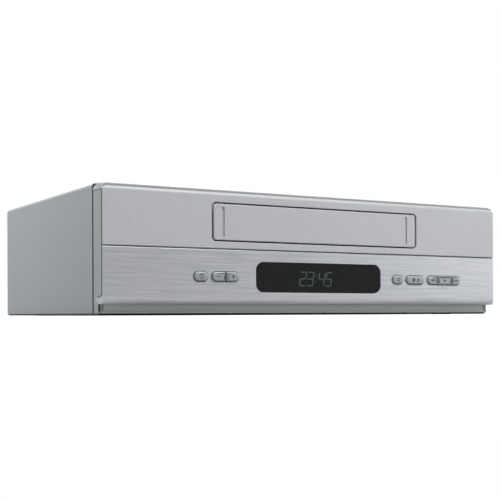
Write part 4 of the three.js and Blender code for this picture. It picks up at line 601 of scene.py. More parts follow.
def skin(outside, insideOf, levels, innerLevels, turn, holes):
    # The section (outside, then inside) stands at several stations along x. Near the ends the inside moves
    # out to the thin wall, and the last stations draw the outside in by a quarter circle. The flat faces,
    # which have holes, are filled apart.
    s = skinShape
    inward = sideways(outside, turn)
    right = [(s["capInner"], s["wall"], 0.0), (s["capInner"], s["endWall"], 0.0)]
    right += [(s["half"] - s["cornerRound"] * share, s["endWall"], 0.0) for share in (0.6, 0.4, 0.25, 0.13)]
    right += [(s["half"] + x, s["endWall"], inset) for x, inset in roundEdge(s["endEdge"], 2)[::-1]]
    stations = [(-x, wall, inset) for x, wall, inset in reversed(right)] + right
    layers = []
    for x, wall, inset in stations:
        room = s["room"] if wall == s["wall"] else s["endRoom"]
        section = np.concatenate([outside + inward * inset, insideOf(wall, room)])
        layers.append(np.insert(section, 0, x, axis=1))
    grid = endDrop(np.array(layers))
    faces = gridFaces(len(stations), grid.shape[1])
    keep = np.ones(faces.shape[:2], bool)
    plain = np.array([a[2] == 0 and b[2] == 0 for a, b in zip(stations, stations[1:])])
    thick = np.array([a[1] == b[1] == s["wall"] for a, b in zip(stations, stations[1:])])
    keep[plain, s["edgeSteps"]] = False
    keep[thick, grid.shape[1] - 2] = False
    parts = [(grid.reshape(-1, 3), faces[keep]), fill(grid[0]), fill(grid[-1])]
    outerX = [x for x, _, inset in stations if inset == 0]
    innerX = [-s["capInner"], s["capInner"]]
    for xs, (low, high), depth, offset in (
        (outerX, levels, 0.0, s["edge"]), (innerX, innerLevels, s["wall"], 0.0),
    ):
        xs = np.unique(xs)
        border = np.concatenate([
            np.column_stack([xs, np.full(len(xs), low)]),
            np.column_stack([xs[::-1], np.full(len(xs), high)]),
        ])
        loops = [atDepth(moved(hole, offset), depth) for hole in holes]
        parts.append(fill(atDepth(border, depth), *loops))
    return parts + [holeRim(hole, s["edge"], s["wall"]) for hole in holes]


def upperSkin():
    # (y, z) points from the seam up the flat face, round the nose and back along the top.
    s = skinShape
    edge, seam, top, rear = s["edge"], s["seam"][1], s["top"], s["rear"]
    outside = np.concatenate([
        arc((edge, seam + edge), edge, 270, 180, s["edgeSteps"]),
        bend((0, s["noseStart"]), s["noseControl"], (s["noseTurn"], top), 14),
        [[s["noseEnd"], top], [rear - 0.3, top], [rear, top - 0.3]],
    ])

    def inside(wall, room):
        # The way back: under the top and down inside the wall, clear of the frame's cap by the room.
        roof, start = s["capTop"] + room, s["capNose"] + room
        return np.concatenate([
            [[rear, roof]],
            bend((s["noseTurn"], roof), (wall + 0.5, (roof + start) / 2), (wall, start), 8),
            [[wall, seam]],
        ])

    return skin(outside, inside, (seam + edge, s["noseStart"]), (seam, s["capNose"] + s["room"]), 1,
                [outline(*s["opening"])])


keyShape = {
    "level": 29.75, "tall": 7.4, "gap": 0.3, "split": 0.8, "innerCorner": 0.6, "proud": 1.7, "edge": 1.5,
    "rear": 2.05, "stemLevel": 29.99, "stem": [(0, 1.5), (2, 1.5), (2, 8.9), (0, 8.9)],
    "flange": (1.9, 4.7), "flangeDepths": (2.6, 3.5), "symbolScale": 1.2, "inkFront": 0.03, "inkBack": 0.02,
    "clusters": (
        (-116.2, (("standby_button", 12.0),)),
        (-100.9, (("programme_down_button", 12.0), ("programme_up_button", 12.0))),
        (73.6, (("record_button", 11.6),)),
        (88.4, (("stop_eject_button", 19.9),)),
        (112.2, (("rewind_button", 11.0), ("play_button", 15.9), ("forward_button", 10.6))),
    ),
}
windowShape = {
    "width": 122.0, "tall": 23.7, "level": 29.85, "corner": 6.5, "gap": 0.25, "edge": 0.3, "rear": 3.8,
    "lip": 1.5, "lipFront": 2.6,
}


def clusterHoles():
    # A hole for each cluster of keys: as wide as the keys together, plus the gap all round.
    k = keyShape
    gap, half = k["gap"], k["tall"] / 2
    holes = []
    for left, keys in k["clusters"]:
        right = left + sum(width for _, width in keys)
        holes.append(outline(
            left - gap, right + gap, k["level"] - half - gap, k["level"] + half + gap, half + gap, steps=9,
        ))
    return holes


def windowOutline(grow, steps=9):
    # The window's rectangle with round corners, grown by one distance on every side.
    w = windowShape
    across, up, corner = w["width"] / 2 + grow, w["tall"] / 2 + grow, w["corner"] + grow
    return outline(-across, across, w["level"] - up, w["level"] + up, corner, steps=steps)


def lowerSkin():
    # (y, z) points from the seam down the flat face and round the chin to the edge behind it.
    s = skinShape
    edge, seam, low, ledge, rear = s["edge"], s["seam"][0], s["chinLow"], s["chinLedge"], s["chinRear"]
    outside = np.concatenate([
        arc((edge, seam - edge), edge, 90, 180, s["edgeSteps"]),
        bend((0, s["chinStart"]), s["chinControl"], s["chinTurn"], 14),
        [[low, s["chinBottom"]], [low + 0.2, ledge], [rear - 0.3, ledge], [rear, ledge + 0.3]],
    ])

    def inside(wall, room):
        # The way back: over the chin and up inside the wall.
        bottom, start = s["capBottom"] - room, s["capChin"] - room
        return np.concatenate([
            [[rear, bottom]],
            bend((s["capTurn"], bottom), (wall + 1.2, bottom + (start - bottom) * 0.41), (wall, start), 8),
            [[wall, seam]],
        ])

    return skin(outside, inside, (s["chinStart"], seam - edge), (s["capChin"] - s["room"], seam), -1,
                [windowOutline(windowShape["gap"]), *clusterHoles()])


makePiece("upper_skin", {"silver_paint": upperSkin()}, "machine", ["upper_fascia"])
# The frame's edge laps over the nose: a thin lip that rises from the lacquered face, darker as painted shade.
# Its stations stand at shares of the corner's rounding from each end.
lipShape = {
    "profile": [(2.3, 94.2), (1.65, 94.5), (1.65, 96.3), (3.2, 96.95), (13.0, 98.0), (14.0, 97.1)],
    "stations": (1.0, 0.8, 0.6, 0.4, 0.25, 0.13, 0.05),
}
ends = [skinShape["half"] - skinShape["cornerRound"] * share for share in lipShape["stations"]]
stops = [-x for x in reversed(ends)] + ends
layers = endDrop(np.array([np.insert(lipShape["profile"], 0, x, axis=1) for x in stops]))
rim = [surface(layers), fill(layers[0]), fill(layers[-1])]
makePiece("top_rim", {"rim_painted_shade": rim}, "machine", slotName="frame_plastic")
makePiece("lower_skin", {"brushed_film": lowerSkin()}, "machine", ["lower_fascia"])


# The cassette flap, with a groove near each end, ribs and hinge arms behind

flapShape = {
    "half": 98.8, "levels": (58.0, 86.0), "corner": 2.6, "thick": 2.4, "edge": 0.6,
    "grooves": ((87.7, 89.9), (-92.1, -89.4)), "grooveLevels": (60.4, 83.6), "grooveDepth": 1.0,
    "grooveEdge": 0.15, "grooveCorner": 0.3, "ribs": (65.0, 72.0, 79.0), "ribHalf": (88.4, 0.7),
    "ribDepths": (2.0, 4.0), "hinge": (6.0, 89.0), "arm": (96.9, 99.3), "armRadius": 2.2,
    "armFoot": [[1.2, 80.0], [2.4, 80.0]], "armTop": [[2.4, 85.8], [1.2, 85.8]],
    "pins": ((96.9, 102.3), (-102.3, -91.9)), "pinRadius": 1.2,
}


def cassetteFlap():
    # A slab with two grooves in its face, ribs and two arms carried along x behind it, and hinge pins.
    f = flapShape
    door = outline(-f["half"], f["half"], *f["levels"], f["corner"])
    grooves = [outline(*ends, *f["grooveLevels"], f["grooveCorner"], steps=3) for ends in f["grooves"]]
    parts = slab(door, 0, f["thick"], f["edge"], holes=[moved(groove, f["grooveEdge"]) for groove in grooves])
    for groove in grooves:
        parts.append(holeRim(groove, f["grooveEdge"], f["grooveDepth"]))
        parts.append(fill(atDepth(groove[0], f["grooveDepth"])))
    across, up = f["ribHalf"]
    for level in f["ribs"]:
        parts += box(-across, across, *f["ribDepths"], level - up, level + up)
    armProfile = np.concatenate([f["armFoot"], arc(f["hinge"], f["armRadius"], 0, 180, 8), f["armTop"]])
    arm = prism(armProfile, *f["arm"])
    parts += arm + mirrored(arm)
    for x0, x1 in f["pins"]:
        pin = [(0, x0), (f["pinRadius"], x0), (f["pinRadius"], x1), (0, x1)]
        parts.append(lathe(pin, (0, *f["hinge"]), axis="x", turns=24))
    return parts


makePiece("flap_door", {"silver_paint": cassetteFlap()}, "flap", ["cassette_flap"])


# Keys with their plain transport symbols

def triangle(x, tall, towards):
    # Three corners: a point at x + towards and an upright side at x.
    return np.array([[x, -tall / 2], [x, tall / 2], [x + towards, 0.0]])


def rectangle(x0, x1, z0, z1):
    # Four corners, round from the lower left.
    return np.array([[x0, z0], [x1, z0], [x1, z1], [x0, z1]])


def circle(radius):
    # Twenty points: the radius times (cosine, sine) of equal angles.
    angle = np.linspace(0, 2 * np.pi, 20, endpoint=False)
    return np.stack([radius * np.cos(angle), radius * np.sin(angle)], 1)


symbols = {
    "standby_button": [(circle(1.5), circle(1.1)), (rectangle(-0.22, 0.22, 0.3, 2.0),)],
    "programme_down_button": [(rectangle(-1.2, 1.2, -0.28, 0.28),)],
    "programme_up_button": [(rectangle(-1.2, 1.2, -0.28, 0.28),), (rectangle(-0.28, 0.28, -1.2, 1.2),)],
    "record_button": [(circle(1.35), circle(0.85))],
    "stop_eject_button": [
        (rectangle(-3.2, -0.8, -1.2, 1.2),),
        (rectangle(0.8, 3.6, -1.2, -0.6),),
        (np.array([[0.8, -0.2], [3.6, -0.2], [2.2, 1.3]]),),
    ],
    "rewind_button": [(triangle(0.0, 2.4, -1.9),), (triangle(1.9, 2.4, -1.9),)],
    "play_button": [(triangle(-1.2, 2.8, 2.6),)],
    "forward_button": [(triangle(-1.9, 2.4, 1.9),), (triangle(0.0, 2.4, 1.9),)],
}


def pushKeys():
    # A cluster's keys share one hole: its end keys are round outside, and a split parts neighbours.
    k = keyShape
    half, face = k["tall"] / 2, -k["proud"]
    across, up = k["flange"]
    for left, keys in k["clusters"]:
        x = left
        for number, (name, width) in enumerate(keys):
            first, last = number == 0, number == len(keys) - 1
            x0 = x if first else x + k["split"] / 2
            x1 = x + width if last else x + width - k["split"] / 2
            radii = half if first else k["innerCorner"], half if last else k["innerCorner"]
            loop = outline(x0, x1, k["level"] - half, k["level"] + half, *radii, steps=9)
            cap = slab(loop, face, k["rear"], k["edge"], steps=5)
            stem, bench = standing(name)[0], k["stemLevel"]
            cap += box(stem - across, stem + across, *k["flangeDepths"], bench - up, bench + up)
            cap.append(lathe(k["stem"], (stem, 0, bench), "y", 20))
            ink = []
            for loops in symbols[name]:
                placed = [loop * k["symbolScale"] + [(x0 + x1) / 2, k["level"]] for loop in loops]
                ink += plate(placed, face - k["inkFront"], face + k["inkBack"])
            makePiece(name.replace("button", "cap"), {"key_silver": cap, "symbol_ink": ink},
                      name.replace("_button", "_key"), [name])
            x += width


pushKeys()


# The clock: smoked window, tube and lit segments

def clockWindow():
    # A plate with a round front rim, and a wider lip round its rear.
    w = windowShape
    loop = windowOutline(0.0, steps=12)
    rear = [[w["lip"], w["rear"]], [w["lip"], w["lipFront"]], [0, w["lipFront"]]]
    return [
        ring(loop, np.concatenate([rear, roundEdge(w["edge"])])),
        fill(atDepth(moved(loop, -w["edge"]), 0)),
        fill(atDepth(moved(loop, w["lip"]), w["rear"])),
    ]


makePiece("clock_window", {"smoked_window": clockWindow()}, "machine", ["display_window"])

clockShape = {
    "digits": "2345", "tall": 11.0, "wide": 5.6, "pitch": 7.3, "colonGap": 3.6, "colonLevels": (-2.2, 2.2),
    "stroke": 1.0, "lean": 0.16, "middle": (0.2, 29.4), "front": 8.68, "back": 8.78,
}


def clockDigits():
    # A segment is a bar with pointed ends between two corners of the figure eight; leaning adds a share
    # of the height to x.
    c = clockShape
    wide, half, stroke = c["wide"] / 2, c["tall"] / 2, c["stroke"] / 2
    corners = {
        "a": ((-wide, half), (wide, half)), "b": ((wide, half), (wide, 0)), "c": ((wide, 0), (wide, -half)),
        "d": ((-wide, -half), (wide, -half)), "e": ((-wide, 0), (-wide, -half)),
        "f": ((-wide, half), (-wide, 0)), "g": ((-wide, 0), (wide, 0)),
    }
    lit = {"2": "abged", "3": "abgcd", "4": "fgbc", "5": "afgcd"}
    inset = stroke * 1.15
    total = c["pitch"] * 3 + c["colonGap"]
    parts = []

    def addPlate(shape, x):
        leaning = shape + np.column_stack([x + shape[:, 1] * c["lean"], np.zeros(len(shape))])
        parts.extend(plate([leaning + c["middle"]], c["front"], c["back"]))

    for number, digit in enumerate(c["digits"]):
        x = -total / 2 + number * c["pitch"] + (c["colonGap"] if number > 1 else 0)
        for name in lit[digit]:
            start, end = (np.array(corner, float) for corner in corners[name])
            along = (end - start) / np.linalg.norm(end - start)
            across = np.array([-along[1], along[0]]) * stroke
            start, end = start + along * inset, end - along * inset
            point = along * stroke * 0.8
            addPlate(np.array([
                start - point, start + across, end + across, end + point, end - across, start - across,
            ]), x)
    for level in c["colonLevels"]:
        addPlate(rectangle(-stroke, stroke, level - stroke, level + stroke), 0.0)
    return parts


makePiece("clock_digits", {"green_phosphor": clockDigits()}, "machine", slotName="tube_glass")


# Smooth faces on the frame's end caps, and a strip behind the nose. Each box is x0, x1, y0, y1, z0, z1.

capShape = {
    "faces": (189.2, 189.62), "front": 1.5, "rear": 18.4, "foot": 1.6, "noseControl": (2.0, 92.1),
    "chinControl": (2.7, 14.26), "step": (9.5, 13.2), "ledge": 9.5,
    "cornerBlock": (185.2, 188.1, 9.3, 9.6, 1.7, 8.9), "topStrip": (-187.0, 187.0, 18.3, 20.2, 95.6, 97.25),
}


def endCap():
    # The end's outline in (y, z), up its rear edge, round the nose and the chin, and down to the foot.
    s, c = skinShape, capShape
    near, far = c["step"]
    return np.concatenate([
        [[c["rear"], c["foot"]], [c["rear"], s["capTop"]]],
        bend((s["noseTurn"], s["capTop"]), c["noseControl"], (c["front"], s["capNose"]), 10),
        bend((c["front"], s["capChin"]), c["chinControl"], (s["capTurn"], s["capBottom"]), 10),
        [[far, s["capBottom"]], [far, c["ledge"]], [near, c["ledge"]], [near, c["foot"]]],
    ])


capSides = prism(endCap(), *capShape["faces"]) + box(*capShape["cornerBlock"])
capFaces = capSides + mirrored(capSides) + box(*capShape["topStrip"])
makePiece("end_cap_faces", {"frame_plastic": capFaces}, "machine")

# The plinth under the chin, lacquered like the front but paler as painted light, with a ledge along its foot
plinthShape = {
    "profile": [(9.6, 8.3), (9.42, 8.3), (9.42, 3.5), (8.5, 2.8), (8.5, 1.7), (9.6, 1.7)], "half": 188.0,
}
plinth = prism(plinthShape["profile"], -plinthShape["half"], plinthShape["half"])
makePiece("plinth_face", {"pale_painted_light": plinth}, "machine", slotName="frame_plastic")


# Painted shade in black strips: round the end caps, in the joint behind them, as a skirt in the gap over the
# floor, and under the cover's top lip

shadeStripShape = {
    "width": (1.45, 0.5), "strip": (189.5, 189.72), "joint": (18.4, 21.3), "jointHalf": 189.57,
    "jointTop": 97.2, "jointCorner": 3.0, "jointFoot": 1.7, "jointDip": (0.06, 0.7),
    "cornerLine": (188.4, 189.4, 9.4, 9.6, 1.9, 8.6), "sideGapShade": (187.2, 187.9, 12.0, 238.0, 0.25, 1.7),
    "frontGapShade": (-1.0, 187.9, 10.2, 11.0, 0.25, 1.7), "topShade": (-187.5, 187.5, 21.5, 23.4, 96.15, 98.4),
}


def shadeStripOutline():
    # A strip of the cap's outline, from its edge to a line set in by the strip's width along y and along z.
    edge = endCap()[1:24]
    inner = edge + sideways(edge, -1) * shadeStripShape["width"]
    return np.concatenate([edge, inner[::-1]])


def jointShadeArch():
    # Arch of black in the joint between the front's pieces and the cover's lip, painted shade, dipped along
    # its middle.
    q = shadeStripShape
    half, top, corner, foot = q["jointHalf"], q["jointTop"], q["jointCorner"], q["jointFoot"]
    loops = []
    for inset, drop in ((0.0, 0.0), q["jointDip"]):
        loops.append(np.concatenate([
            [[-half + inset, foot]],
            arc((-half + corner, top - corner), corner - inset, 180, 90, 6) - [0, drop],
            arc((half - corner, top - corner), corner - inset, 90, 0, 6) - [0, drop],
            [[half - inset, foot]],
        ]))
    near, far = q["joint"]
    outer, inner = loops
    grid = np.stack([atDepth(outer, near), atDepth(inner, near), atDepth(inner, far), atDepth(outer, far)], 1)
    return [surface(grid), fill(grid[0]), fill(grid[-1])]


sideShadeStrips = prism(shadeStripOutline(), *shadeStripShape["strip"])
for key in ("cornerLine", "sideGapShade", "frontGapShade"):
    sideShadeStrips += box(*shadeStripShape[key])
shadeStrips = sideShadeStrips + mirrored(sideShadeStrips) + jointShadeArch() + box(*shadeStripShape["topShade"])
makePiece("painted_shade_strips", {"pad_rubber": shadeStrips}, "machine")


# The folded steel cover

print("making the case")
coverShape = {
    "half": 188.5, "bottom": 1.6, "top": 98.6, "bend": 3.0, "sheet": 1.0, "front": 26.0, "rear": 242.2,
    "lipOut": 1.12, "lip": (21.3, 22.4, 24.4), "fold": 1.2, "flange": (12.3, 5.5), "hem": 0.4,
}


def arch(inset, sideInset=None):
    # The cover's section from the front: up one side, round a quarter circle, along the top and down.
    c = coverShape
    side = inset if sideInset is None else sideInset
    half, top = c["half"] - side, c["top"] - inset
    radius = max(c["bend"] - inset, 0.6)
    return np.concatenate([
        [[-half, c["bottom"]]],
        arc((-half + radius, top - radius), radius, 180, 90, 8),
        arc((half - radius, top - radius), radius, 90, 0, 8),
        [[half, c["bottom"]]],
    ])


def topCover():
    # Arches from inside the lip, out and back along the cover, round the rear fold and in again: each
    # has its inset at the top, its inset at the sides where that differs, and its depth.
    c = coverShape
    sheet, rear, hem, out = c["sheet"], c["rear"], c["hem"], -c["lipOut"]
    tip, step, back = c["lip"]
    rows = [
        (sheet, None, c["front"] + 0.3), (sheet, out + 0.1, step), (sheet, out + 0.1, tip),
        (0.1, out + 0.04, tip), (0, out, tip + 0.1), (0, out, back), (0, None, c["front"]),
    ]
    rows += [(-offset, None, rear - depth) for offset, depth in roundEdge(c["fold"], 4)]
    rows += [
        (*c["flange"], rear), (*c["flange"], rear - sheet), (sheet + hem, None, rear - sheet),
        (sheet, None, rear - sheet - hem),
    ]
    grid = np.stack([atDepth(arch(inset, side), depth) for inset, side, depth in rows], 1)
    return [surface(grid), fill(grid[0]), fill(grid[-1])]


makePiece("cover_shell", {"coated_steel": topCover()}, "machine", ["top_cover"], sharp=40)

footShape = {"radius": 9.0, "edge": 0.8, "tall": 1.3, "places": {
    "foot_front_left": (-158.5, 35.5), "foot_front_right": (158.5, 35.5),
    "foot_rear_left": (-158.5, 215.0), "foot_rear_right": (158.5, 215.0),
}}
r, edge, tall = footShape["radius"], footShape["edge"], footShape["tall"]
footProfile = [(0, 0), (r - edge - 0.1, 0), *arc((r - edge, edge), edge, 270, 360, 5), (r, tall), (0, tall)]
for name, (x, y) in footShape["places"].items():
    makePiece(name + "_pad", {"pad_rubber": [lathe(footProfile, (x, y, 0))]}, "machine", [name])


# The sockets and screws on the back

print("making the back")
screwShape = {
    "places": {"left": (-152.5, 20), "middle": (0.0, 65), "right": (152.5, -12)}, "level": 91.8,
    "under": 242.4, "cross": (1.9, 0.45), "crossDepths": (0.8, 3),
}
# A cross is cut in the turned head once, and each screw stops at its own angle.
screwProfile = [
    (0, -7.0), (1.1, -7.0), (1.5, -6.2), (1.5, 0), (3.2, 0), (3.4, 0.2), (3.4, 0.7), (3.2, 1.15), (2.7, 1.5),
    (1.8, 1.75), (0, 1.8),
]
long, wide = screwShape["cross"]
depths = screwShape["crossDepths"]
crossing = box(-long, long, *depths, -wide, wide) + box(-wide, wide, *depths, -long, long)
points, faces = cutAway([lathe(screwProfile, (0, 0, 0), "y", 48)], crossing)
for side, (x, angle) in screwShape["places"].items():
    turned = spun([(points[:, [0, 2, 1]], faces)], angle)[0][0][:, [0, 2, 1]]
    head = turned + [x, screwShape["under"], screwShape["level"]]
    makePiece(f"screw_{side}", {"screw_steel": [(head, faces)]}, "machine", [f"cover_screw_{side}"])

# Two phono sockets on one block: nickel barrels round coloured insulators
phonoShape = {
    "block": (-27.0, 3.0, 228.8, 238.8, 11.7, 27.7), "level": 19.7, "end": 248.6,
    "places": ((-19.0, "white_insulator"), (-5.0, "red_insulator")),
}
groups = {"nickel": box(*phonoShape["block"])}
for x, colour in phonoShape["places"]:
    centre, end = (x, 0, phonoShape["level"]), phonoShape["end"]
    groups["nickel"].append(lathe([
        (3.45, 238.6), (4.15, 238.6), (4.15, end - 0.5), (3.95, end - 0.1), (3.75, end), (3.5, end - 0.2),
        (3.45, end - 0.6), (3.45, 238.6),
    ], centre, "y"))
    groups[colour] = [lathe([
        (0, 240.2), (3.46, 240.2), (3.46, end - 1.0), (3.2, end - 0.7), (1.8, end - 0.7), (1.6, end - 0.9),
        (1.6, 241.6), (0, 241.6),
    ], centre, "y")]
makePiece("phono_barrels", groups, "machine", ["phono_sockets"])

# The tuner's can with its lid, and the two aerial sockets: one with a pin, one with a sleeve
tunerShape = {
    "x": 145.3, "levels": (22.7, 46.7), "end": 249.2, "can": (125.3, 165.3, 212.8, 238.8, 11.7, 57.7),
    "lid": (125.0, 165.6, 213.4, 238.2, 52.0, 58.0),
}
can = box(*tunerShape["can"]) + box(*tunerShape["lid"])
end = tunerShape["end"]
barrel = [
    (0, 238.6), (6.2, 238.6), (6.2, 241.2), (7.8, 241.2), (8.0, 241.4), (8.0, 242.4), (7.8, 242.6),
    (6.2, 242.6), (6.2, end - 0.5), (5.8, end), (5.2, end), (4.8, end - 0.4), (4.8, 242.2), (0, 242.2),
]
pin = [(0, 242.0), (1.2, 242.0), (1.2, end - 0.7), (0.8, end - 0.1), (0, end)]
sleeve = [
    (0, 242.0), (2.0, 242.0), (2.0, end - 0.3), (1.8, end), (0.7, end), (0.6, end - 0.2), (0.6, 245.7),
    (0, 245.7),
]
for level, core in zip(tunerShape["levels"], (pin, sleeve)):
    centre = (tunerShape["x"], 0, level)
    can += [lathe(barrel, centre, "y"), lathe(core, centre, "y", 24)]
makePiece("tuner_can", {"nickel": can}, "machine", ["tuner_module"])


# The tape deck's turned pieces

print("making the deck")
drumShape = {
    "middle": (0.0, 172.0, 39.8), "tilt": 5.96, "lift": 12.3, "radius": 31.0, "lines": (5.0, 7.5, 10.0),
    "line": ((0, 0), (0.1, 0.2), (0.5, 0.2), (0.6, 0)), "window": (27.8, 40.0, -1.6, 1.6, -5.0, 3.2),
}
x, y, z = drumShape["middle"]
t = math.radians(drumShape["tilt"])
headCentre = (x + drumShape["lift"] * math.sin(t), y, z + drumShape["lift"] * math.cos(t))
lowerDrum = lathe([
    (0, 0), (31.9, 0), (32.2, 0.3), (32.2, 3.7), (31.9, 3.96), (31.0, 3.96), (31.0, 11.7), (30.7, 12.0),
    (3.3, 12.0), (3.3, 3.7), (0, 3.7),
], drumShape["middle"], turns=120, tilt=drumShape["tilt"])
pedestalProfile = [(0, -8.0), (21.6, -8.0), (22.0, -7.6), (22.0, 3.9), (0, 3.9)]
pedestal = lathe(pedestalProfile, drumShape["middle"], turns=96)
makePiece("lower_drum", {"drum_aluminium": [lowerDrum, pedestal]}, "machine", ["drum_base"])
lines = [(drumShape["radius"] - d, level + up) for level in drumShape["lines"] for up, d in drumShape["line"]]
upperDrum = [lathe([
    (0, -8.0), (3.0, -8.0), (3.0, 0), (30.2, 0), (31.0, 0.8), *lines, (31.0, 16.2), (30.2, 17.0),
    (12.2, 17.0), (12.0, 16.8), (12.0, 14.0), (6.2, 14.0), (6.0, 14.2), (6.0, 15.6), (5.6, 16.0), (0, 16.0),
], (0, 0, 0), turns=120)]
window = box(*drumShape["window"])
points, faces = cutAway(upperDrum, window + mirrored(window))
makePiece("upper_drum", {"drum_aluminium": [(carried(points, headCentre, drumShape["tilt"]), faces)]},
          "video_drum", ["drum_head"])

reelProfile = [
    (0, 11.0), (2.3, 11.0), (2.3, 0), (16.5, 0), (17.0, 0.5), (17.0, 5.4), (16.4, 6.0), (9.0, 6.0),
    (8.2, 6.4), (8.0, 7.0), (8.0, 10.4), (7.4, 11.0), (3.8, 11.0), (3.8, 20.8), (3.2, 22.6), (2.4, 23.0),
    (0, 23.0),
]
wingProfile = [(-0.8, 10.8), (0.8, 10.8), (0.8, 19.6), (0.3, 21.0), (-0.3, 21.0), (-0.8, 19.6)]
for side in ("supply", "takeup"):
    centre = standing(f"{side}_reel")
    table = [lathe(reelProfile, centre, turns=72)]
    for angle in (0, 120, 240):
        wing = spun(prism(wingProfile, 2.0, 5.4), angle)
        table += [(carried(points, centre), faces) for points, faces in wing]
    makePiece(f"{side}_reel_table", {"reel_plastic": table}, f"{side}_table", [f"{side}_reel"])


def roundPiece(name, node, profiles, body):
    # A turned piece in place of a CAD node: a profile for each material, on the node's own axis.
    centre = standing(node)
    made = {key: [lathe(profile, centre, turns=72)] for key, profile in profiles.items()}
    makePiece(name, made, body, [node])


guideProfile = [
    (0, 0), (2.2, 0), (2.2, 2.2), (4.7, 2.2), (5.0, 2.5), (5.0, 5.9), (4.7, 6.2), (3.4, 6.2), (3.4, 6.9),
    (3.0, 7.1), (3.0, 22.3), (3.4, 22.5), (3.4, 23.2), (3.8, 23.2), (3.8, 24.3), (3.4, 24.6), (0, 24.6),
]
for side in ("supply", "takeup"):
    roundPiece(f"{side}_roller_post", f"{side}_guide", {"polished_steel": guideProfile}, f"{side}_post")
roundPiece("capstan_shaft", "capstan", {"polished_steel": [
    (0, 0), (23.6, 0), (24.0, 0.4), (24.0, 5.6), (23.6, 6.0), (8.0, 6.0), (8.0, 9.0), (1.5, 9.0), (1.5, 38.9),
    (1.2, 39.2), (0, 39.2),
]}, "capstan_flywheel")
roundPiece("capstan_bush", "capstan_bearing", {"bearing_brass": [
    (1.8, 0), (5.0, 0), (5.0, 1.8), (7.7, 1.8), (8.0, 2.1), (8.0, 3.5), (7.7, 3.8), (5.0, 3.8), (3.5, 11.4),
    (3.2, 11.8), (2.1, 11.8), (1.8, 11.5), (1.8, 0),
]}, "machine")
roundPiece("pinch_tyre", "pinch_roller", {
    "tyre_rubber": [(3.1, 0.2), (6.0, 0.2), (6.5, 0.7), (6.5, 10.3), (6.0, 10.8), (3.1, 10.8), (3.1, 0.2)],
    "polished_steel": [(1.8, 0), (3.2, 0), (3.2, 11.0), (1.8, 11.0), (1.8, 0)],
}, "pinch_wheel")
roundPiece("idler_tyre_wheel", "idler_wheel", {
    "tyre_rubber": [(12.4, 0), (14.6, 0), (15.0, 0.5), (15.0, 2.9), (14.6, 3.4), (12.4, 3.4), (12.4, 0)],
    "reel_plastic": [(1.9, 0.1), (12.5, 0.1), (12.5, 1.2), (4.0, 1.2), (4.0, 3.4), (1.9, 3.4), (1.9, 0.1)],
}, "idler_tyre")
roundPiece("capacitor_can", "smoothing_capacitor", {
    "can_sleeve": [
        (0, 0), (9.5, 0), (10.0, 0.5), (10.0, 7.0), (9.0, 7.6), (9.0, 8.4), (10.0, 9.0), (10.0, 31.3),
        (9.4, 32.0), (8.6, 32.0), (8.6, 31.6), (0, 31.6),
    ],
    "heat_sink": [(0, 31.5), (8.5, 31.5), (8.5, 31.8), (0, 31.8)],
}, "machine")


# Floor, world, lamps and camera

print("setting the stage")
lampShape = {
    "right": {"place": (1.38, -1.1, 0.5), "size": (0.62, 0.9), "radiance": 3.8},
    "front": {"place": (0.24, -1.0, 1.5), "size": (1.4, 0.8), "radiance": 9.8},
    "left": {"place": (-0.5, 0.2, 0.55), "size": (0.4, 0.4), "radiance": 7.0},
}
studioShape = {"aim": (0.0, -0.05, 0.05), "world": 0.4, "floorGlow": 0.8, "floorHalf": 6}
for name, lamp in lampShape.items():
    # A lamp's power is its radiance times pi times its area. It is turned so that it faces the aim.
    data = bpy.data.lights.new(name + " lamp", "AREA")
    data.shape = "RECTANGLE"
    data.size, data.size_y = lamp["size"]
    data.energy = lamp["radiance"] * math.pi * data.size * data.size_y
    holder = bpy.data.objects.new(name + " lamp", data)
    bpy.context.scene.collection.objects.link(holder)
    holder.location = lamp["place"]
    holder.visible_camera = False
    x, y, z = np.array(studioShape["aim"]) - np.array(lamp["place"])
    holder.rotation_euler = (math.atan2(math.hypot(x, y), -z), 0, math.atan2(-x, y))

half = studioShape["floorHalf"]
floorMesh = bpy.data.meshes.new("floor")
corners = [(-half, -half, 0), (half, -half, 0), (half, half, 0), (-half, half, 0)]
floorMesh.from_pydata(corners, [], [(0, 1, 2, 3)])
floor = bpy.data.objects.new("floor", floorMesh)
bpy.context.scene.collection.objects.link(floor)
# Paper that glows white to the camera and in reflections; the glow is cut where something stands close over
# it, a painted contact shadow.
paper, tree, place = startMaterial("white studio paper")
fibre = addNode(tree, "TexNoise", {"Scale": 300}, {"Vector": place})
white = addNode(tree, "Mix", {"data_type": "RGBA", 6: linear("#949493"), 7: linear("#999998")}, {0: fibre})
matt = addNode(tree, "BsdfPrincipled", {"Roughness": 0.9, "Specular IOR Level": 0.0}, {
    "Base Color": white.outputs[2],
})
path = addNode(tree, "LightPath").outputs
seen = addNode(tree, "Math", {"operation": "ADD", "use_clamp": True}, {
    0: path["Is Camera Ray"], 1: path["Is Glossy Ray"],
})
seenThrough = addNode(tree, "Math", {"operation": "ADD", "use_clamp": True}, {
    0: seen, 1: path["Is Transmission Ray"],
})
openSky = addNode(tree, "AmbientOcclusion", {"samples": 16, "Distance": 0.06})
contactShadeFactor = addNode(tree, "Math", {"operation": "POWER", 1: 1.5}, {0: openSky.outputs["AO"]})
whole = addNode(tree, "Math", {"operation": "MULTIPLY", 1: studioShape["floorGlow"]}, {0: seenThrough})
strength = addNode(tree, "Math", {"operation": "MULTIPLY"}, {0: whole, 1: contactShadeFactor})
glow = addNode(tree, "Emission", {}, {"Strength": strength})
both = addNode(tree, "AddShader", {}, {0: matt, 1: glow})
addNode(tree, "OutputMaterial", {}, {"Surface": both})
floorMesh.materials.append(paper)

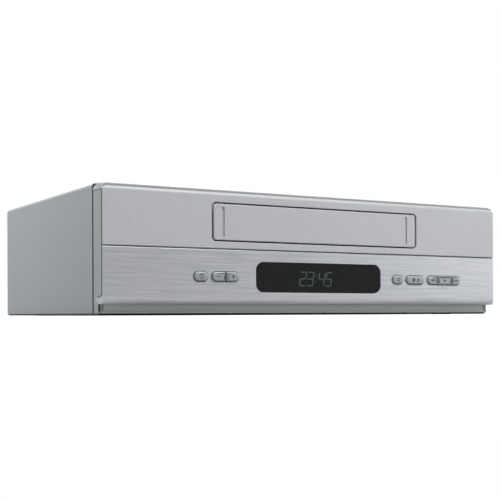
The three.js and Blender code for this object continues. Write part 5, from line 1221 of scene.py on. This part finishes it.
# The studio: a white sweep behind and all round the horizon, and a darker room in front and overhead.
# The camera sees plain white everywhere.
world = bpy.data.worlds.new("white studio")
bpy.context.scene.world = world
world.use_nodes = True
tree = world.node_tree
tree.nodes.clear()
place = addNode(tree, "TexCoord")
direction = addNode(tree, "SeparateXYZ", {}, {"Vector": place.outputs["Generated"]}).outputs
ceiling = addNode(tree, "MapRange", {
    "From Min": 0.25, "From Max": 0.6, "To Min": 1.0, "To Max": 0.25, "interpolation_type": "SMOOTHSTEP",
}, {"Value": direction["Z"]})
room = addNode(tree, "MapRange", {
    "From Min": -0.7, "From Max": 0.1, "To Min": 0.35, "To Max": 1.0, "interpolation_type": "SMOOTHSTEP",
}, {"Value": direction["Y"]})
studio = addNode(tree, "Math", {"operation": "MULTIPLY"}, {0: ceiling, 1: room})
path = addNode(tree, "LightPath").outputs
seen = addNode(tree, "Math", {"operation": "ADD", "use_clamp": True}, {
    0: path["Is Glossy Ray"], 1: path["Is Transmission Ray"],
})
level = addNode(tree, "MapRange", {"To Min": studioShape["world"], "To Max": 1.0}, {"Value": seen})
lit = addNode(tree, "Math", {"operation": "MULTIPLY"}, {0: studio, 1: level})
strength = addNode(tree, "Math", {"operation": "MAXIMUM"}, {0: lit, 1: path["Is Camera Ray"]})
backdrop = addNode(tree, "Background", {"Color": (1, 1, 1, 1)}, {"Strength": strength})
addNode(tree, "OutputWorld", {}, {"Surface": backdrop})

cameraShape = {
    "place": (-0.4579, -0.7986, 0.0012), "yaw": -30.099, "roll": 0.204, "lens": 71.574, "shift": 0.1271,
    "sensor": 36.0, "clip": (0.01, 50),
}
cameraData = bpy.data.cameras.new("camera")
cameraData.lens = cameraShape["lens"]
cameraData.sensor_width = cameraShape["sensor"]
cameraData.shift_y = cameraShape["shift"]
cameraData.clip_start, cameraData.clip_end = cameraShape["clip"]
camera = bpy.data.objects.new("camera", cameraData)
bpy.context.scene.collection.objects.link(camera)
camera.location = cameraShape["place"]
yaw, roll = math.radians(cameraShape["yaw"]), math.radians(cameraShape["roll"])
camera.rotation_euler = (math.radians(90), roll, yaw)
bpy.context.scene.camera = camera
bpy.context.scene.view_settings.view_transform = "Standard"
